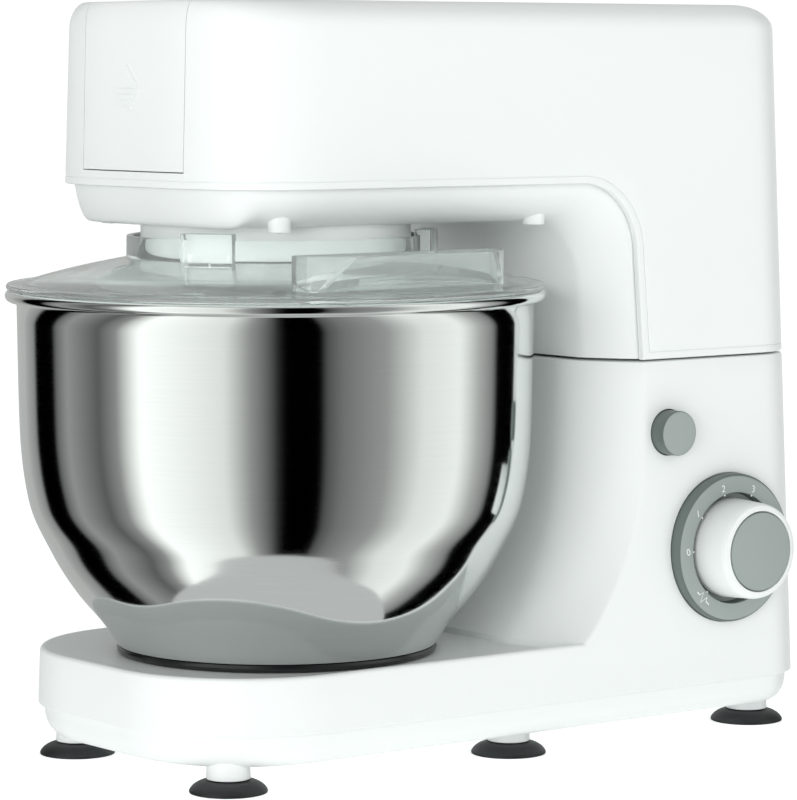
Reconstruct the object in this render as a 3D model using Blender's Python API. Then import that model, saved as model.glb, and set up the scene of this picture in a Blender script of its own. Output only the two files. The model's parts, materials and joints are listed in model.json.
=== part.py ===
"""Stand mixer with a tilting head, planetary drive, clear lid, steel bowl and suction feet.

Lengths below are in millimetres and are written to the meshes in metres. The origin is on the worktop under the
middle of the machine, +Z is up, the bowl end points to -Y and the controls are on the +X flank.
"""
import math

import bmesh
import bpy
from mathutils import Matrix, Vector

MM = 0.001
GAP = 0.3

# Driving dimensions of the casing
BOWL_Y = -62.0
FLANGE_Z = 25.0
HALF_W = 85.0
DRAFT = 0.0262
BASE_FRONT = -158.0
REAR = 178.0
REAR_R = 27.0
FRONT_R = 62.0
RIM_Z = 49.2
FLOOR_Z = 46.5
DECK_Z = 169.5
HEAD_Z = 170.3
CHIN_Z = 247.6
TOP_Z = 325.0
NOSE_Y = -137.0
NOSE_L = 55.4
NOSE_POWER = 3.5
WALL = 3.0
SKIN = 2.5

# Tilt hinge
HINGE_Y = 168.5
HINGE_Z = 170.0
PIN_R = 2.5
BARREL_R = 5.0
KNUCKLE_SPLIT = 44.0
KNUCKLE_END = 60.0

# Drive train
ECCENTRIC = 28.0
RING_TEETH = 48
PLANET_TEETH = 16
PLANET_MODULE = 1.75
FINAL_TEETH = 60
PINION_TEETH = 12
SPUR_MODULE = 1.5
LAYSHAFT_Y = BOWL_Y + SPUR_MODULE * (FINAL_TEETH + PINION_TEETH) / 2
MOTOR_Y = 118.0
BIG_PULLEY_R = 48.0
SMALL_PULLEY_R = 9.0
SHAFT_R = 6.0
BEVEL_TEETH = 20
BEVEL_R = 15.0
OUTLET_Z = 288.0
POCKET_Y = -130.5
PLATE_Z = 256.0
PLATE_T = 4.0

# Controls on the flank
KNOB_Y = 124.5
KNOB_Z = 85.0
BUTTON_Y = 90.6
BUTTON_Z = 138.0
DIAL_X = 81.6
STRIKER_X = 38.5

# Feet
FOOT_X = 57.0
FOOT_YS = (-128.0, 21.0, 161.5)
CUP_R = 16.3

MATERIALS = {
    "white_plastic": ((0.80, 0.83, 0.82), 0.30, 0.0, 1.0),
    "grey_plastic": ((0.36, 0.40, 0.39), 0.40, 0.0, 1.0),
    "clear_plastic": ((0.80, 0.86, 0.85), 0.08, 0.0, 0.35),
    "polished_steel": ((0.72, 0.73, 0.72), 0.12, 1.0, 1.0),
    "bright_steel": ((0.62, 0.63, 0.64), 0.28, 1.0, 1.0),
    "black_rubber": ((0.02, 0.022, 0.022), 0.60, 0.0, 1.0),
    "black_plastic": ((0.02, 0.022, 0.022), 0.35, 0.0, 1.0),
    "cast_aluminium": ((0.58, 0.59, 0.60), 0.45, 1.0, 1.0),
    "laminated_steel": ((0.32, 0.33, 0.34), 0.50, 1.0, 1.0),
    "copper": ((0.70, 0.34, 0.18), 0.35, 1.0, 1.0),
    "circuit_board": ((0.03, 0.20, 0.10), 0.50, 0.0, 1.0),
    "nylon": ((0.82, 0.80, 0.72), 0.45, 0.0, 1.0),
}


# ---------------------------------------------------------------- solids, in millimetres

def clear_scene():
    for obj in list(bpy.data.objects):
        bpy.data.objects.remove(obj, do_unlink=True)


def solid(bm):
    """Turns a bmesh into a closed, outward-facing working object."""
    bmesh.ops.remove_doubles(bm, verts=bm.verts, dist=1e-4)
    bmesh.ops.dissolve_degenerate(bm, edges=bm.edges, dist=1e-5)
    bmesh.ops.recalc_face_normals(bm, faces=bm.faces)
    mesh = bpy.data.meshes.new("solid")
    bm.to_mesh(mesh)
    bm.free()
    obj = bpy.data.objects.new("solid", mesh)
    bpy.context.scene.collection.objects.link(obj)
    return obj


def combine(obj, other, operation):
    """Applies one exact Boolean and removes the second object."""
    modifier = obj.modifiers.new("combine", "BOOLEAN")
    modifier.operation = operation
    modifier.solver = "EXACT"
    modifier.object = other
    bpy.context.view_layer.update()
    depsgraph = bpy.context.evaluated_depsgraph_get()
    mesh = bpy.data.meshes.new_from_object(obj.evaluated_get(depsgraph))
    obj.modifiers.clear()
    obj.data = mesh
    bpy.data.objects.remove(other, do_unlink=True)
    return obj


def cut(obj, *cutters):
    for cutter in cutters:
        combine(obj, cutter, "DIFFERENCE")
    return obj


def join(obj, *others):
    for other in others:
        combine(obj, other, "UNION")
    return obj


def overlap(obj, other):
    return combine(obj, other, "INTERSECT")


def loft(rings):
    """Closed solid through a list of closed outlines that have the same number of points."""
    bm = bmesh.new()
    loops = [[bm.verts.new(point) for point in ring] for ring in rings]
    count = len(loops[0])
    for lower, upper in zip(loops, loops[1:]):
        for i in range(count):
            j = (i + 1) % count
            bm.faces.new((lower[i], lower[j], upper[j], upper[i]))
    bm.faces.new(list(reversed(loops[0])))
    bm.faces.new(loops[-1])
    return solid(bm)


def along(axis, u, v, h):
    """Places plane coordinates u, v and the height h on a right-handed axis."""
    return {"X": (h, u, v), "Y": (v, h, u), "Z": (u, v, h)}[axis]


def prism(outline, axis, low, high):
    return loft([[along(axis, u, v, h) for u, v in outline] for h in (low, high)])


def circle(r, count, u=0.0, v=0.0, start=0.0):
    step = 2 * math.pi / count
    return [(u + r * math.cos(start + i * step), v + r * math.sin(start + i * step)) for i in range(count)]


def rod(axis, u, v, r, low, high, count=24):
    """Cylinder whose first corner is turned off the axes, so that it never meets another solid's seam."""
    return prism(circle(r, count, u, v, 0.04), axis, low, high)


def box(x, y, z):
    return prism([(x[0], y[0]), (x[1], y[0]), (x[1], y[1]), (x[0], y[1])], "Z", z[0], z[1])


def lathe(profile, axis, u, v, count=40):
    """Turned solid from a closed (radius, height) profile; a profile may touch the axis at its two ends."""
    bm = bmesh.new()
    rings = []
    for i in range(count):
        angle = 2 * math.pi * i / count
        ring = [along(axis, u + r * math.cos(angle), v + r * math.sin(angle), h) for r, h in profile]
        rings.append([bm.verts.new(point) for point in ring])
    size = len(profile)
    for i in range(count):
        near, far = rings[i], rings[(i + 1) % count]
        for k in range(size):
            m = (k + 1) % size
            if profile[k][0] == 0.0 and profile[m][0] == 0.0:
                continue
            bm.faces.new((near[k], near[m], far[m], far[k]))
    return solid(bm)


def part(name, obj, material, origin=(0.0, 0.0, 0.0)):
    """Names a finished solid, gives it its material and moves it to metres about its own origin."""
    obj.name = name
    obj.data.name = name
    obj.data.transform(Matrix.Scale(MM, 4) @ Matrix.Translation(-Vector(origin)))
    obj.location = Vector(origin) * MM
    obj.data.materials.clear()
    obj.data.materials.append(bpy.data.materials[material])
    obj.data.shade_smooth()
    obj.data.set_sharp_from_angle(angle=math.radians(35))
    return obj


def make_materials():
    for name, (colour, roughness, metallic, alpha) in MATERIALS.items():
        material = bpy.data.materials.new(name)
        material.use_nodes = True
        shader = material.node_tree.nodes["Principled BSDF"]
        shader.inputs["Base Color"].default_value = (*colour, 1.0)
        shader.inputs["Roughness"].default_value = roughness
        shader.inputs["Metallic"].default_value = metallic
        shader.inputs["Alpha"].default_value = alpha


# ---------------------------------------------------------------- outlines

def arc(u, v, r, start, end, steps):
    """Points on a circular arc, both ends included, angles in degrees."""
    angles = [math.radians(start + (end - start) * i / steps) for i in range(steps + 1)]
    return [(u + r * math.cos(a), v + r * math.sin(a)) for a in angles]


def smooth(points, steps):
    """Catmull-Rom curve through a few hand-set points."""
    ends = [points[0], *points, points[-1]]
    curve = []
    for a, b, c, d in zip(ends, ends[1:], ends[2:], ends[3:]):
        for i in range(steps):
            t = i / steps
            curve.append(tuple(
                0.5 * (2 * q + (r - p) * t + (2 * p - 5 * q + 4 * r - s) * t ** 2 + (3 * q - p - 3 * r + s) * t ** 3)
                for p, q, r, s in zip(a, b, c, d)))
    return curve + [points[-1]]


def half_width(z):
    return HALF_W - DRAFT * (z - FLANGE_Z)


def rear_y(z):
    return REAR - DRAFT * (z - FLANGE_Z)


def rear_corners(w, rear, r, steps=4):
    return arc(w - r, rear - r, r, 0, 90, steps) + arc(r - w, rear - r, r, 90, 180, steps)


def base_plan(z, inset=0.0):
    """Platform outline at height z: large round front corners, small rear ones."""
    w = half_width(z) - inset
    front = BASE_FRONT + DRAFT * (z - FLANGE_Z) + inset
    r = FRONT_R - inset
    corners = arc(r - w, front + r, r, 180, 270, 8) + arc(w - r, front + r, r, 270, 360, 8)
    return [(x, y, z) for x, y in corners + rear_corners(w, rear_y(z) - inset, REAR_R - inset)]


def crease_y(z):
    """Front edge of the column on the flank: upright above, sweeping forward into the platform rim."""
    s = (HEAD_Z - z) / (HEAD_Z - RIM_Z)
    return 77.0 - 35.0 * max(0.0, min(1.0, s)) ** 3.3


def face_y(z):
    """Front face of the column in the middle, which follows the bowl."""
    s = (HEAD_Z - z) / (HEAD_Z - RIM_Z)
    return 58.0 - 32.0 * max(0.0, min(1.0, s)) ** 3.0


FACE_FLAT = 0.54
FACE_STATIONS = (1.0, 0.9, 0.8, 0.7, 0.6, 0.5)


def slope(fraction):
    """How far the column's face has fallen back from the middle (0) to the flank crease (1)."""
    return max(0.0, (fraction - FACE_FLAT) / (1.0 - FACE_FLAT)) ** 1.6


def column_plan(z, inset=0.0, level=None):
    """Column outline; the front face swings back from its flat middle to the flank creases."""
    w = half_width(z) - inset
    stations = [-f for f in FACE_STATIONS] + list(reversed(FACE_STATIONS))
    at = z if level is None else level
    middle, edge = face_y(at) + inset, crease_y(at) + inset
    face = [(f * w, middle + (edge - middle) * slope(abs(f))) for f in stations]
    return [(x, y, z) for x, y in face + rear_corners(w, rear_y(z) - inset, REAR_R - inset)]


def nose_y(fraction, z, inset=0.0):
    """Front of the head at a fraction of its half width: half a superellipse in plan."""
    middle = NOSE_Y + NOSE_L + DRAFT * (z - CHIN_Z)
    return middle - (NOSE_L - inset) * max(0.0, 1.0 - abs(fraction) ** NOSE_POWER) ** (1 / NOSE_POWER)


def nose_fractions(steps):
    """Stations across the nose, closer together where it turns into the flanks."""
    turns = [math.sin(math.pi / 2 * i / steps) for i in range(-steps, steps + 1)]
    return [math.copysign(abs(t) ** (2 / NOSE_POWER), t) for t in turns]


def head_plan(z, inset=0.0, steps=11, nose_inset=None):
    """Head outline at height z: blunt rounded nose, straight flanks, rounded rear corners."""
    w = half_width(z) - inset
    front = inset if nose_inset is None else nose_inset
    nose = [(w * f, nose_y(f, z, front)) for f in nose_fractions(steps)]
    return [(x, y, z) for x, y in nose + rear_corners(w, rear_y(z) - inset, max(REAR_R - inset, 2.0), 5)]


def gear_outline(teeth, module, u, v, mesh_angle, tip, root, backlash):
    """Involute outline with a tooth centred on mesh_angle; tip and root are distances from the pitch circle."""
    pitch = module * teeth / 2
    base = pitch * math.cos(math.radians(20))

    def involute(r):
        angle = math.acos(min(1.0, base / r))
        return math.tan(angle) - angle

    half_pitch = math.pi / (2 * teeth) + backlash / pitch
    low, high = pitch - root, pitch + tip
    levels = [low, high]
    halves = [half_pitch + involute(pitch) - involute(max(r, base)) for r in levels]
    points = []
    for k in range(teeth):
        centre = mesh_angle + 2 * math.pi * k / teeth
        flank = list(zip(levels, halves))
        for r, a in flank:
            points.append((u + r * math.cos(centre - a), v + r * math.sin(centre - a)))
        for r, a in reversed(flank):
            points.append((u + r * math.cos(centre + a), v + r * math.sin(centre + a)))
    return points


# ---------------------------------------------------------------- base

def make_base_housing():
    body = loft([
        base_plan(FLANGE_Z), base_plan(FLANGE_Z + 12), base_plan(RIM_Z - 2), base_plan(RIM_Z - 0.6, 0.6),
        base_plan(RIM_Z, 2.0)])
    recess = loft([base_plan(FLOOR_Z, 11.0), base_plan(RIM_Z + 3, 8.0)])
    cut(body, recess)
    levels = (RIM_Z, 52, 57, 65, 77, 92, 115, DECK_Z - 1)
    rings = [column_plan(FLOOR_Z - 4, 1.5, RIM_Z)]
    rings += [column_plan(z) for z in levels]
    rings.append(column_plan(DECK_Z, 1.0))
    join(body, loft(rings))
    cavity = loft([base_plan(FLANGE_Z - 5, WALL), base_plan(FLOOR_Z - WALL, WALL)])
    inner = [column_plan(FLOOR_Z - WALL - 2, WALL, RIM_Z)]
    inner += [column_plan(z, WALL) for z in (52, 65, 90, DECK_Z - WALL)]
    join(cavity, loft(inner))
    cut(body, cavity)
    cut(body, rod("Z", 0, BOWL_Y, 57.0, FLOOR_Z - 6, FLOOR_Z + 6, 40))
    cut(body, rod("X", KNOB_Y, KNOB_Z, 33.4, DIAL_X, 95, 40))
    cut(body, rod("X", KNOB_Y, KNOB_Z, 6.0, 60, 95))
    cut(body, rod("X", BUTTON_Y, BUTTON_Z, 10.3, 60, 95, 24))
    cut(body, box((STRIKER_X - 4, STRIKER_X + 6), (72, 104), (DECK_Z - 5, DECK_Z + 3)))
    cut(body, rod("X", HINGE_Y, HINGE_Z, 8.0, -70, 70, 32))
    cut(body, box((-62, 62), (159, 169), (DECK_Z - 5, DECK_Z + 2)))
    cut(body, rod("Y", 44, -45, 7.2, REAR - 12, REAR + 4))
    part("base_housing", body, "white_plastic")


def make_bottom_cover():
    cover = loft([
        base_plan(11.0, 13.0), base_plan(12.3, 9.2), base_plan(15.5, 5.6), base_plan(20.0, 3.4),
        base_plan(FLANGE_Z - GAP, 2.6)])
    cut(cover, loft([base_plan(13.5, 14.5), base_plan(FLANGE_Z + 2, 5.6)]))
    for x in (-FOOT_X, FOOT_X):
        for y in FOOT_YS:
            join(cover, rod("Z", x, y, 9.1, 5.6, 15.0, 16))
            cut(cover, rod("Z", x, y, 5.0, 3.0, 10.0, 10))
    part("base_bottom_cover", cover, "white_plastic")


def make_feet():
    profile = [
        (0.0, 9.5), (4.5, 9.5), (4.5, 5.2), (10.0, 4.6), (CUP_R, 1.0), (CUP_R - 0.5, 0.0), (CUP_R - 1.8, 0.0),
        (0.0, 2.8)]
    number = 0
    for y in FOOT_YS:
        for x in (-FOOT_X, FOOT_X):
            number += 1
            foot = lathe(profile, "Z", x, y, 16)
            part("suction_foot_%d" % number, foot, "black_rubber", (x, y, 0.0))


SEAT_LUG_R = 48.0
SEAT_R = 53.0


def sector(r_in, r_out, start, end, steps=6):
    """Outline of a ring sector about the bowl axis."""
    outer = arc(0, BOWL_Y, r_out, start, end, steps)
    inner = arc(0, BOWL_Y, r_in, end, start, steps)
    return outer + inner


def make_bowl_seat():
    seat = lathe([
        (0.0, 31.0), (56.4, 31.0), (56.4, 39.8), (64.0, 39.8), (64.0, 43.0), (56.4, 43.0), (56.4, FLOOR_Z),
        (SEAT_R, FLOOR_Z), (SEAT_R, 33.5), (0.0, 33.5)], "Z", 0, BOWL_Y, 32)
    for k in range(3):
        start = 120.0 * k
        join(seat, prism(sector(SEAT_LUG_R, SEAT_R + 1.0, start, start + 30.0), "Z", 41.2, 44.2))
    part("bowl_seat", seat, "black_plastic", (0, BOWL_Y, 31.0))


def bowl_wall():
    """Outer profile of the bowl, from the bottom outwards and up to the rolled rim."""
    return [(0.0, 53.0), (52.0, 51.4), (69.0, 50.3), (75.5, 60.0), (85.2, 71.5), (93.0, 83.0), (99.2, 94.5),
            (104.2, 105.0), (107.0, 115.0), (109.2, 130.0), (110.3, 150.0), (111.0, 197.5)]


BOWL_T = 1.2
ROLL_R = 2.2
ROLL_Z = 200.6
ROLL_CENTRE = 113.8


def make_bowl():
    outer = bowl_wall()
    roll = arc(ROLL_CENTRE, ROLL_Z, ROLL_R, 235, 450, 5)
    inner = []
    for a, b, c in zip(outer[1:], outer[2:], outer[3:]):
        run = Vector((c[0] - a[0], c[1] - a[1])).normalized()
        inner.append((b[0] - run.y * BOWL_T, b[1] + run.x * BOWL_T))
    inner = [(0.0, 53.0 + BOWL_T), (52.0, 51.4 + BOWL_T)] + inner[1:] + [(111.0 - BOWL_T, ROLL_Z)]
    profile = outer + roll + list(reversed(inner))
    bowl = lathe(profile, "Z", 0, BOWL_Y, 36)
    part("bowl", bowl, "polished_steel", (0, BOWL_Y, 50.3))
    ring = lathe([
        (43.5, 36.0), (46.8, 36.0), (46.8, 46.8), (69.3, 46.8), (69.3, 49.9), (43.5, 49.9)], "Z", 0, BOWL_Y, 32)
    for k in range(3):
        start = 120.0 * k
        join(ring, prism(sector(46.0, SEAT_R - 0.7, start, start + 30.0), "Z", 36.8, 40.4))
    part("bowl_base_ring", ring, "black_plastic", (0, BOWL_Y, 46.8))


def make_dial():
    bezel = lathe([
        (6.4, DIAL_X + GAP), (33.0, DIAL_X + GAP), (33.0, 87.6), (31.8, 88.8), (24.6, 88.8), (24.6, DIAL_X + 1.8),
        (6.4, DIAL_X + 1.8)], "X", KNOB_Y, KNOB_Z, 32)
    part("dial_bezel", bezel, "grey_plastic", (DIAL_X, KNOB_Y, KNOB_Z))
    origin = (84.0, KNOB_Y, KNOB_Z)
    knob = lathe([
        (0.0, 68.0), (3.0, 68.0), (3.0, 98.0), (20.2, 98.0), (20.6, 84.6), (22.8, 84.6), (21.8, 103.5),
        (20.4, 105.6), (18.4, 105.6), (18.2, 103.0), (0.0, 103.0)], "X", KNOB_Y, KNOB_Z, 32)
    part("speed_knob", knob, "white_plastic", origin)
    cap = lathe([(0.0, 103.3), (17.8, 103.3), (16.8, 106.0), (0.0, 106.2)], "X", KNOB_Y, KNOB_Z, 28)
    part("knob_cap", cap, "grey_plastic", origin)


def make_electrics():
    switch = box((50, 66), (KNOB_Y - 16, KNOB_Y + 16), (KNOB_Z - 15, KNOB_Z + 15))
    join(switch, rod("X", KNOB_Y, KNOB_Z, 7.0, 60, 74, 20))
    cut(switch, rod("X", KNOB_Y, KNOB_Z, 3.3, 64, 90, 20))
    part("speed_switch", switch, "black_plastic")
    board = box((38, 40), (KNOB_Y - 34, KNOB_Y + 34), (52, 122))
    for y, z, height, side in ((-20, 70, 12, 14), (12, 66, 16, 16), (-4, 100, 9, 20), (22, 104, 12, 8)):
        join(board, box((39, 40 + height * 0.5), (KNOB_Y + y - side / 2, KNOB_Y + y + side / 2),
                        (z - side / 2, z + side / 2)))
    part("control_board", board, "circuit_board")
    inlet = lathe([(3.8, 166.0), (10.0, 166.0), (10.0, 173.8), (6.8, 173.8), (6.8, REAR), (5.2, REAR),
                   (3.8, 176.0)], "Y", 44, -45, 16)
    part("cable_inlet", inlet, "black_plastic")


def make_release():
    """Press button on the flank; its slide passes under the striker and ends in the latch tongue."""
    origin = (80.0, BUTTON_Y, BUTTON_Z)
    button = lathe([
        (0.0, 70.0), (5.6, 70.0), (5.6, 75.0), (12.0, 75.0), (12.0, 77.5), (9.8, 77.5), (9.8, 88.4), (8.6, 89.6),
        (0.0, 89.9)], "X", BUTTON_Y, BUTTON_Z, 24)
    part("release_button", button, "grey_plastic", origin)
    low, high = STRIKER_X - 8.5, 69.7
    bar = box((low, high), (BUTTON_Y - 3, BUTTON_Y + 3), (BUTTON_Z - 4, BUTTON_Z + 4))
    join(bar, box((low, low + 4), (BUTTON_Y - 3, BUTTON_Y + 3), (BUTTON_Z - 3, 161.5)))
    join(bar, box((low + 2, STRIKER_X - 0.6), (BUTTON_Y - 3, BUTTON_Y + 3), (157.5, 161.5)))
    part("latch_slide", bar, "bright_steel", origin)
    turns, steps = 4, 10
    rings = []
    for i in range(turns * steps + 1):
        a = 2 * math.pi * i / steps
        x = 59.5 + 14.2 * i / (turns * steps)
        centre = Vector((x, BUTTON_Y + 7.6 * math.cos(a), BUTTON_Z + 7.6 * math.sin(a)))
        out = Vector((0.0, math.cos(a), math.sin(a)))
        ring = [centre + 0.8 * (out * math.cos(b) + Vector((1, 0, 0)) * math.sin(b))
                for b in (0, math.pi / 2, math.pi, 3 * math.pi / 2)]
        rings.append(ring)
    part("button_spring", loft(rings), "bright_steel", origin)
    guide = box((55.5, 58.2), (BUTTON_Y - 12, BUTTON_Y + 12), (BUTTON_Z - 12, BUTTON_Z + 12))
    cut(guide, box((50, 60), (BUTTON_Y - 3.4, BUTTON_Y + 3.4), (BUTTON_Z - 4.4, BUTTON_Z + 4.4)))
    part("slide_guide", guide, "black_plastic")


def make_hinge():
    """Four-barrel hinge: the inner two barrels stand on the base's bracket, the outer two hang on the head's arms."""
    plate_y = (HINGE_Y - 4.6, HINGE_Y - 1.4)
    bracket = box((-KNUCKLE_SPLIT, KNUCKLE_SPLIT), plate_y, (128, 142))
    arms = box((-KNUCKLE_END, KNUCKLE_END), plate_y, (208, 222))
    for sign in (-1, 1):
        inner = sorted((sign * 30.0, sign * KNUCKLE_SPLIT))
        join(bracket, rod("X", HINGE_Y, HINGE_Z, BARREL_R, *inner, 14), box(inner, plate_y, (130, HINGE_Z - 1)))
        outer = sorted((sign * (KNUCKLE_SPLIT + 1.0), sign * KNUCKLE_END))
        join(arms, rod("X", HINGE_Y, HINGE_Z, BARREL_R, *outer, 14), box(outer, plate_y, (HINGE_Z + 1, 220)))
    cut(bracket, rod("X", HINGE_Y, HINGE_Z, PIN_R + GAP, -70, 70, 12))
    cut(arms, rod("X", HINGE_Y, HINGE_Z, PIN_R + GAP, -70, 70, 12))
    part("hinge_bracket", bracket, "bright_steel")
    part("hinge_arms", arms, "bright_steel", (0, HINGE_Y, HINGE_Z))
    pin = rod("X", HINGE_Y, HINGE_Z, PIN_R, -KNUCKLE_END - 1, KNUCKLE_END + 1, 12)
    part("hinge_pin", pin, "bright_steel")


# ---------------------------------------------------------------- head casing

ARC_R = 29.5
ARC_Y = 44.6
ARC_Z = CHIN_Z - ARC_R


def head_side_profile(low):
    """Side view of the head as (y, z): long nose, concave corner, rear block down to the seam."""
    corner = arc(ARC_Y, ARC_Z, ARC_R, 90, 0, 8)
    return [(-200, CHIN_Z)] + corner + [(76.9, low), (220, low), (220, 400), (-200, 400)]


def head_block():
    """Full head form without its concave underside; the top edge is rounded."""
    crown = [(11.0, 0.0), (6.5, 0.9), (3.2, 2.9), (1.1, 6.4), (0.0, 12.0)]
    rings = [head_plan(TOP_Z - drop, inset, nose_inset=0.4 * inset) for drop, inset in crown]
    return loft([head_plan(HEAD_Z - 10)] + rings)


def make_top_cover():
    outer = overlap(head_block(), prism(head_side_profile(HEAD_Z), "X", -100, 100))
    front = overlap(head_block(), box((-37.3, 37.3), (-200, POCKET_Y - GAP), (254.5, 400)))
    cut(front, box((-33, 33), (POCKET_Y - 3.8, POCKET_Y + 5), (258, 317)))
    cavity = loft([head_plan(HEAD_Z - 20, WALL), head_plan(TOP_Z - 12, WALL), head_plan(TOP_Z - WALL, 9.0)])
    cut(cavity, box((-40.8, 40.8), (-200, POCKET_Y + SKIN), (251.5, 400)))
    cut(outer, cavity)
    cut(outer, box((-37.7, 37.7), (-200, POCKET_Y), (254.1, 400)))
    cut(outer, rod("Y", OUTLET_Z, 0, 13.0, POCKET_Y - 2, POCKET_Y + 6, 28))
    cut(outer, rod("X", HINGE_Y, HINGE_Z, 6.2, -62, 62, 28))
    part("head_top_cover", outer, "white_plastic", (0, HINGE_Y, HINGE_Z))
    part("front_outlet_cover", front, "white_plastic", (0, POCKET_Y, OUTLET_Z))


UNDER_INSET = 3.5
UNDER_Z = 231.5
STATIONS = (0.0, 0.3, 0.5, 0.62, 0.74, 0.84, 0.92, 1.0)
TRAY_BACK = 160.0
UNDER_SCREWS = ((-62.0, -105.0), (62.0, -105.0), (-62.0, 30.0), (62.0, 30.0))


def under_section(fraction, width, grow):
    """Side outline of the underside cover at one station; grow moves the skin inwards for the inner surface."""
    x = fraction * width
    t = max(0.0, (abs(fraction) - 0.72) / 0.28)
    bottom = UNDER_Z + 16.6 * (1.0 - math.sqrt(max(0.0, 1.0 - t * t))) + grow
    face = 58.0 + 17.2 * slope(abs(fraction)) + grow
    front = nose_y(fraction, CHIN_Z, UNDER_INSET + grow)
    drop = max(0.0, 248.4 + grow - bottom)
    nose = [(front + 17.0 * (1 - math.cos(a)), bottom + drop * (1 - math.sin(a)))
            for a in [math.radians(90 * k / 3) for k in range(4)]]
    corner = arc(face - ARC_R - 1.5, bottom - ARC_R, ARC_R, 90, 0, 5)
    back = TRAY_BACK - grow
    rear = min(back, rear_y(HEAD_Z) - REAR_R + math.sqrt(
        max(0.0, (REAR_R - UNDER_INSET - grow) ** 2 - max(0.0, abs(x) - half_width(HEAD_Z) + REAR_R) ** 2)))
    top = 251.0 if grow == 0 else 300.0
    floor = HEAD_Z + 0.4 + grow
    return [(x, y, z) for y, z in
            [(front, top)] + nose + corner + [(face, floor + 8), (face, floor), (rear, floor), (rear, top)]]


def tapered(rings):
    """Gives every section the casing's draft."""
    reference = half_width(HEAD_Z)
    return [[(x * half_width(max(z, HEAD_Z)) / reference, y, z) for x, y, z in ring] for ring in rings]


def make_underside():
    stations = [-f for f in reversed(STATIONS[1:])] + list(STATIONS)
    width = half_width(HEAD_Z) - UNDER_INSET
    body = loft(tapered([under_section(f, width, 0.0) for f in stations]))
    inner = loft(tapered([under_section(f, width - SKIN, SKIN) for f in stations]))
    cut(body, inner)
    cut(body, rod("Z", 0, BOWL_Y, 59.4, 215, 244, 48))
    cut(body, box((STRIKER_X - 2, STRIKER_X + 5), (79, 103), (165, 180)))
    for x, y in UNDER_SCREWS:
        cut(body, rod("Z", x, y, 2.4, 225, 255, 12))
    part("head_underside_cover", body, "white_plastic", (0, HINGE_Y, HINGE_Z))


def make_under_screws():
    for number, (x, y) in enumerate(UNDER_SCREWS, 1):
        screw = lathe([(0.0, 229.6), (4.2, 230.0), (4.2, 231.4), (2.0, 231.4), (2.0, 250.0), (0.0, 251.0)],
                      "Z", x, y, 10)
        part("underside_screw_%d" % number, screw, "bright_steel", (x, y, 229.6))


def make_striker():
    striker = box((STRIKER_X, STRIKER_X + 3), (83, 99), (148, 174.5))
    join(striker, box((STRIKER_X - 8, STRIKER_X + 12), (80.5, 101.5), (173.6, 176)))
    cut(striker, box((STRIKER_X - 5, STRIKER_X + 6), (86, 96), (156, 163.4)))
    part("latch_striker", striker, "bright_steel", (0, HINGE_Y, HINGE_Z))


LID_TABS = (-61.0, 45.0, 151.0)
CHUTE_Y = -60.0
CHUTE_HALF = 49.5
CHUTE_X = (78.5, 89.5, 90.0)
CHUTE_Z = (205.2, 221.5)
CHUTE_LEAN = 11.0
CHUTE_CORNER = 12.0


def chute_ring(z, inset=0.0):
    """Chute outline at height z: the outer wall leans out and its two corners are cut back towards the top."""
    rise = max(0.0, (z - CHUTE_Z[0]) / (CHUTE_Z[1] - CHUTE_Z[0]))
    half = CHUTE_HALF + 2.0 - inset
    near, flat = CHUTE_X[0] + inset, CHUTE_X[1] - 0.5 * inset
    far, turn = CHUTE_X[2] + 2.0 + CHUTE_LEAN * rise - inset, half - 2.0 - CHUTE_CORNER * rise
    right = [(near, half), (flat, half), (far, turn)]
    return [(x, CHUTE_Y - y, z) for x, y in right] + [(x, CHUTE_Y + y, z) for x, y in reversed(right)]


def make_lid():
    """Clear splash lid: flat rim, shallow cone, collar round the hub, and a wide feed chute on the +X side."""
    lid = lathe([
        (106.8, 199.0), (108.6, 199.0), (108.6, 203.2), (115.0, 203.2), (115.6, 204.2), (115.0, 205.4),
        (109.0, 205.8), (64.0, 216.4), (64.0, 226.0), (62.0, 226.0), (62.0, 214.6), (106.8, 203.8)],
        "Z", 0, BOWL_Y, 36)
    for angle in LID_TABS:
        tab = prism(sector(61.9, 69.5, angle - 10, angle + 10, 2), "Z", 212.4, 228.9)
        join(lid, tab)
    low, high = CHUTE_Z
    passage = loft([chute_ring(low - 8, 2.0), chute_ring(low, 2.0), chute_ring(high + 3, 2.0)])
    join(lid, loft([chute_ring(low), chute_ring(high)]))
    cut(lid, passage)
    part("bowl_lid", lid, "clear_plastic", (0, HINGE_Y, HINGE_Z))


# ---------------------------------------------------------------- drive

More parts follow.
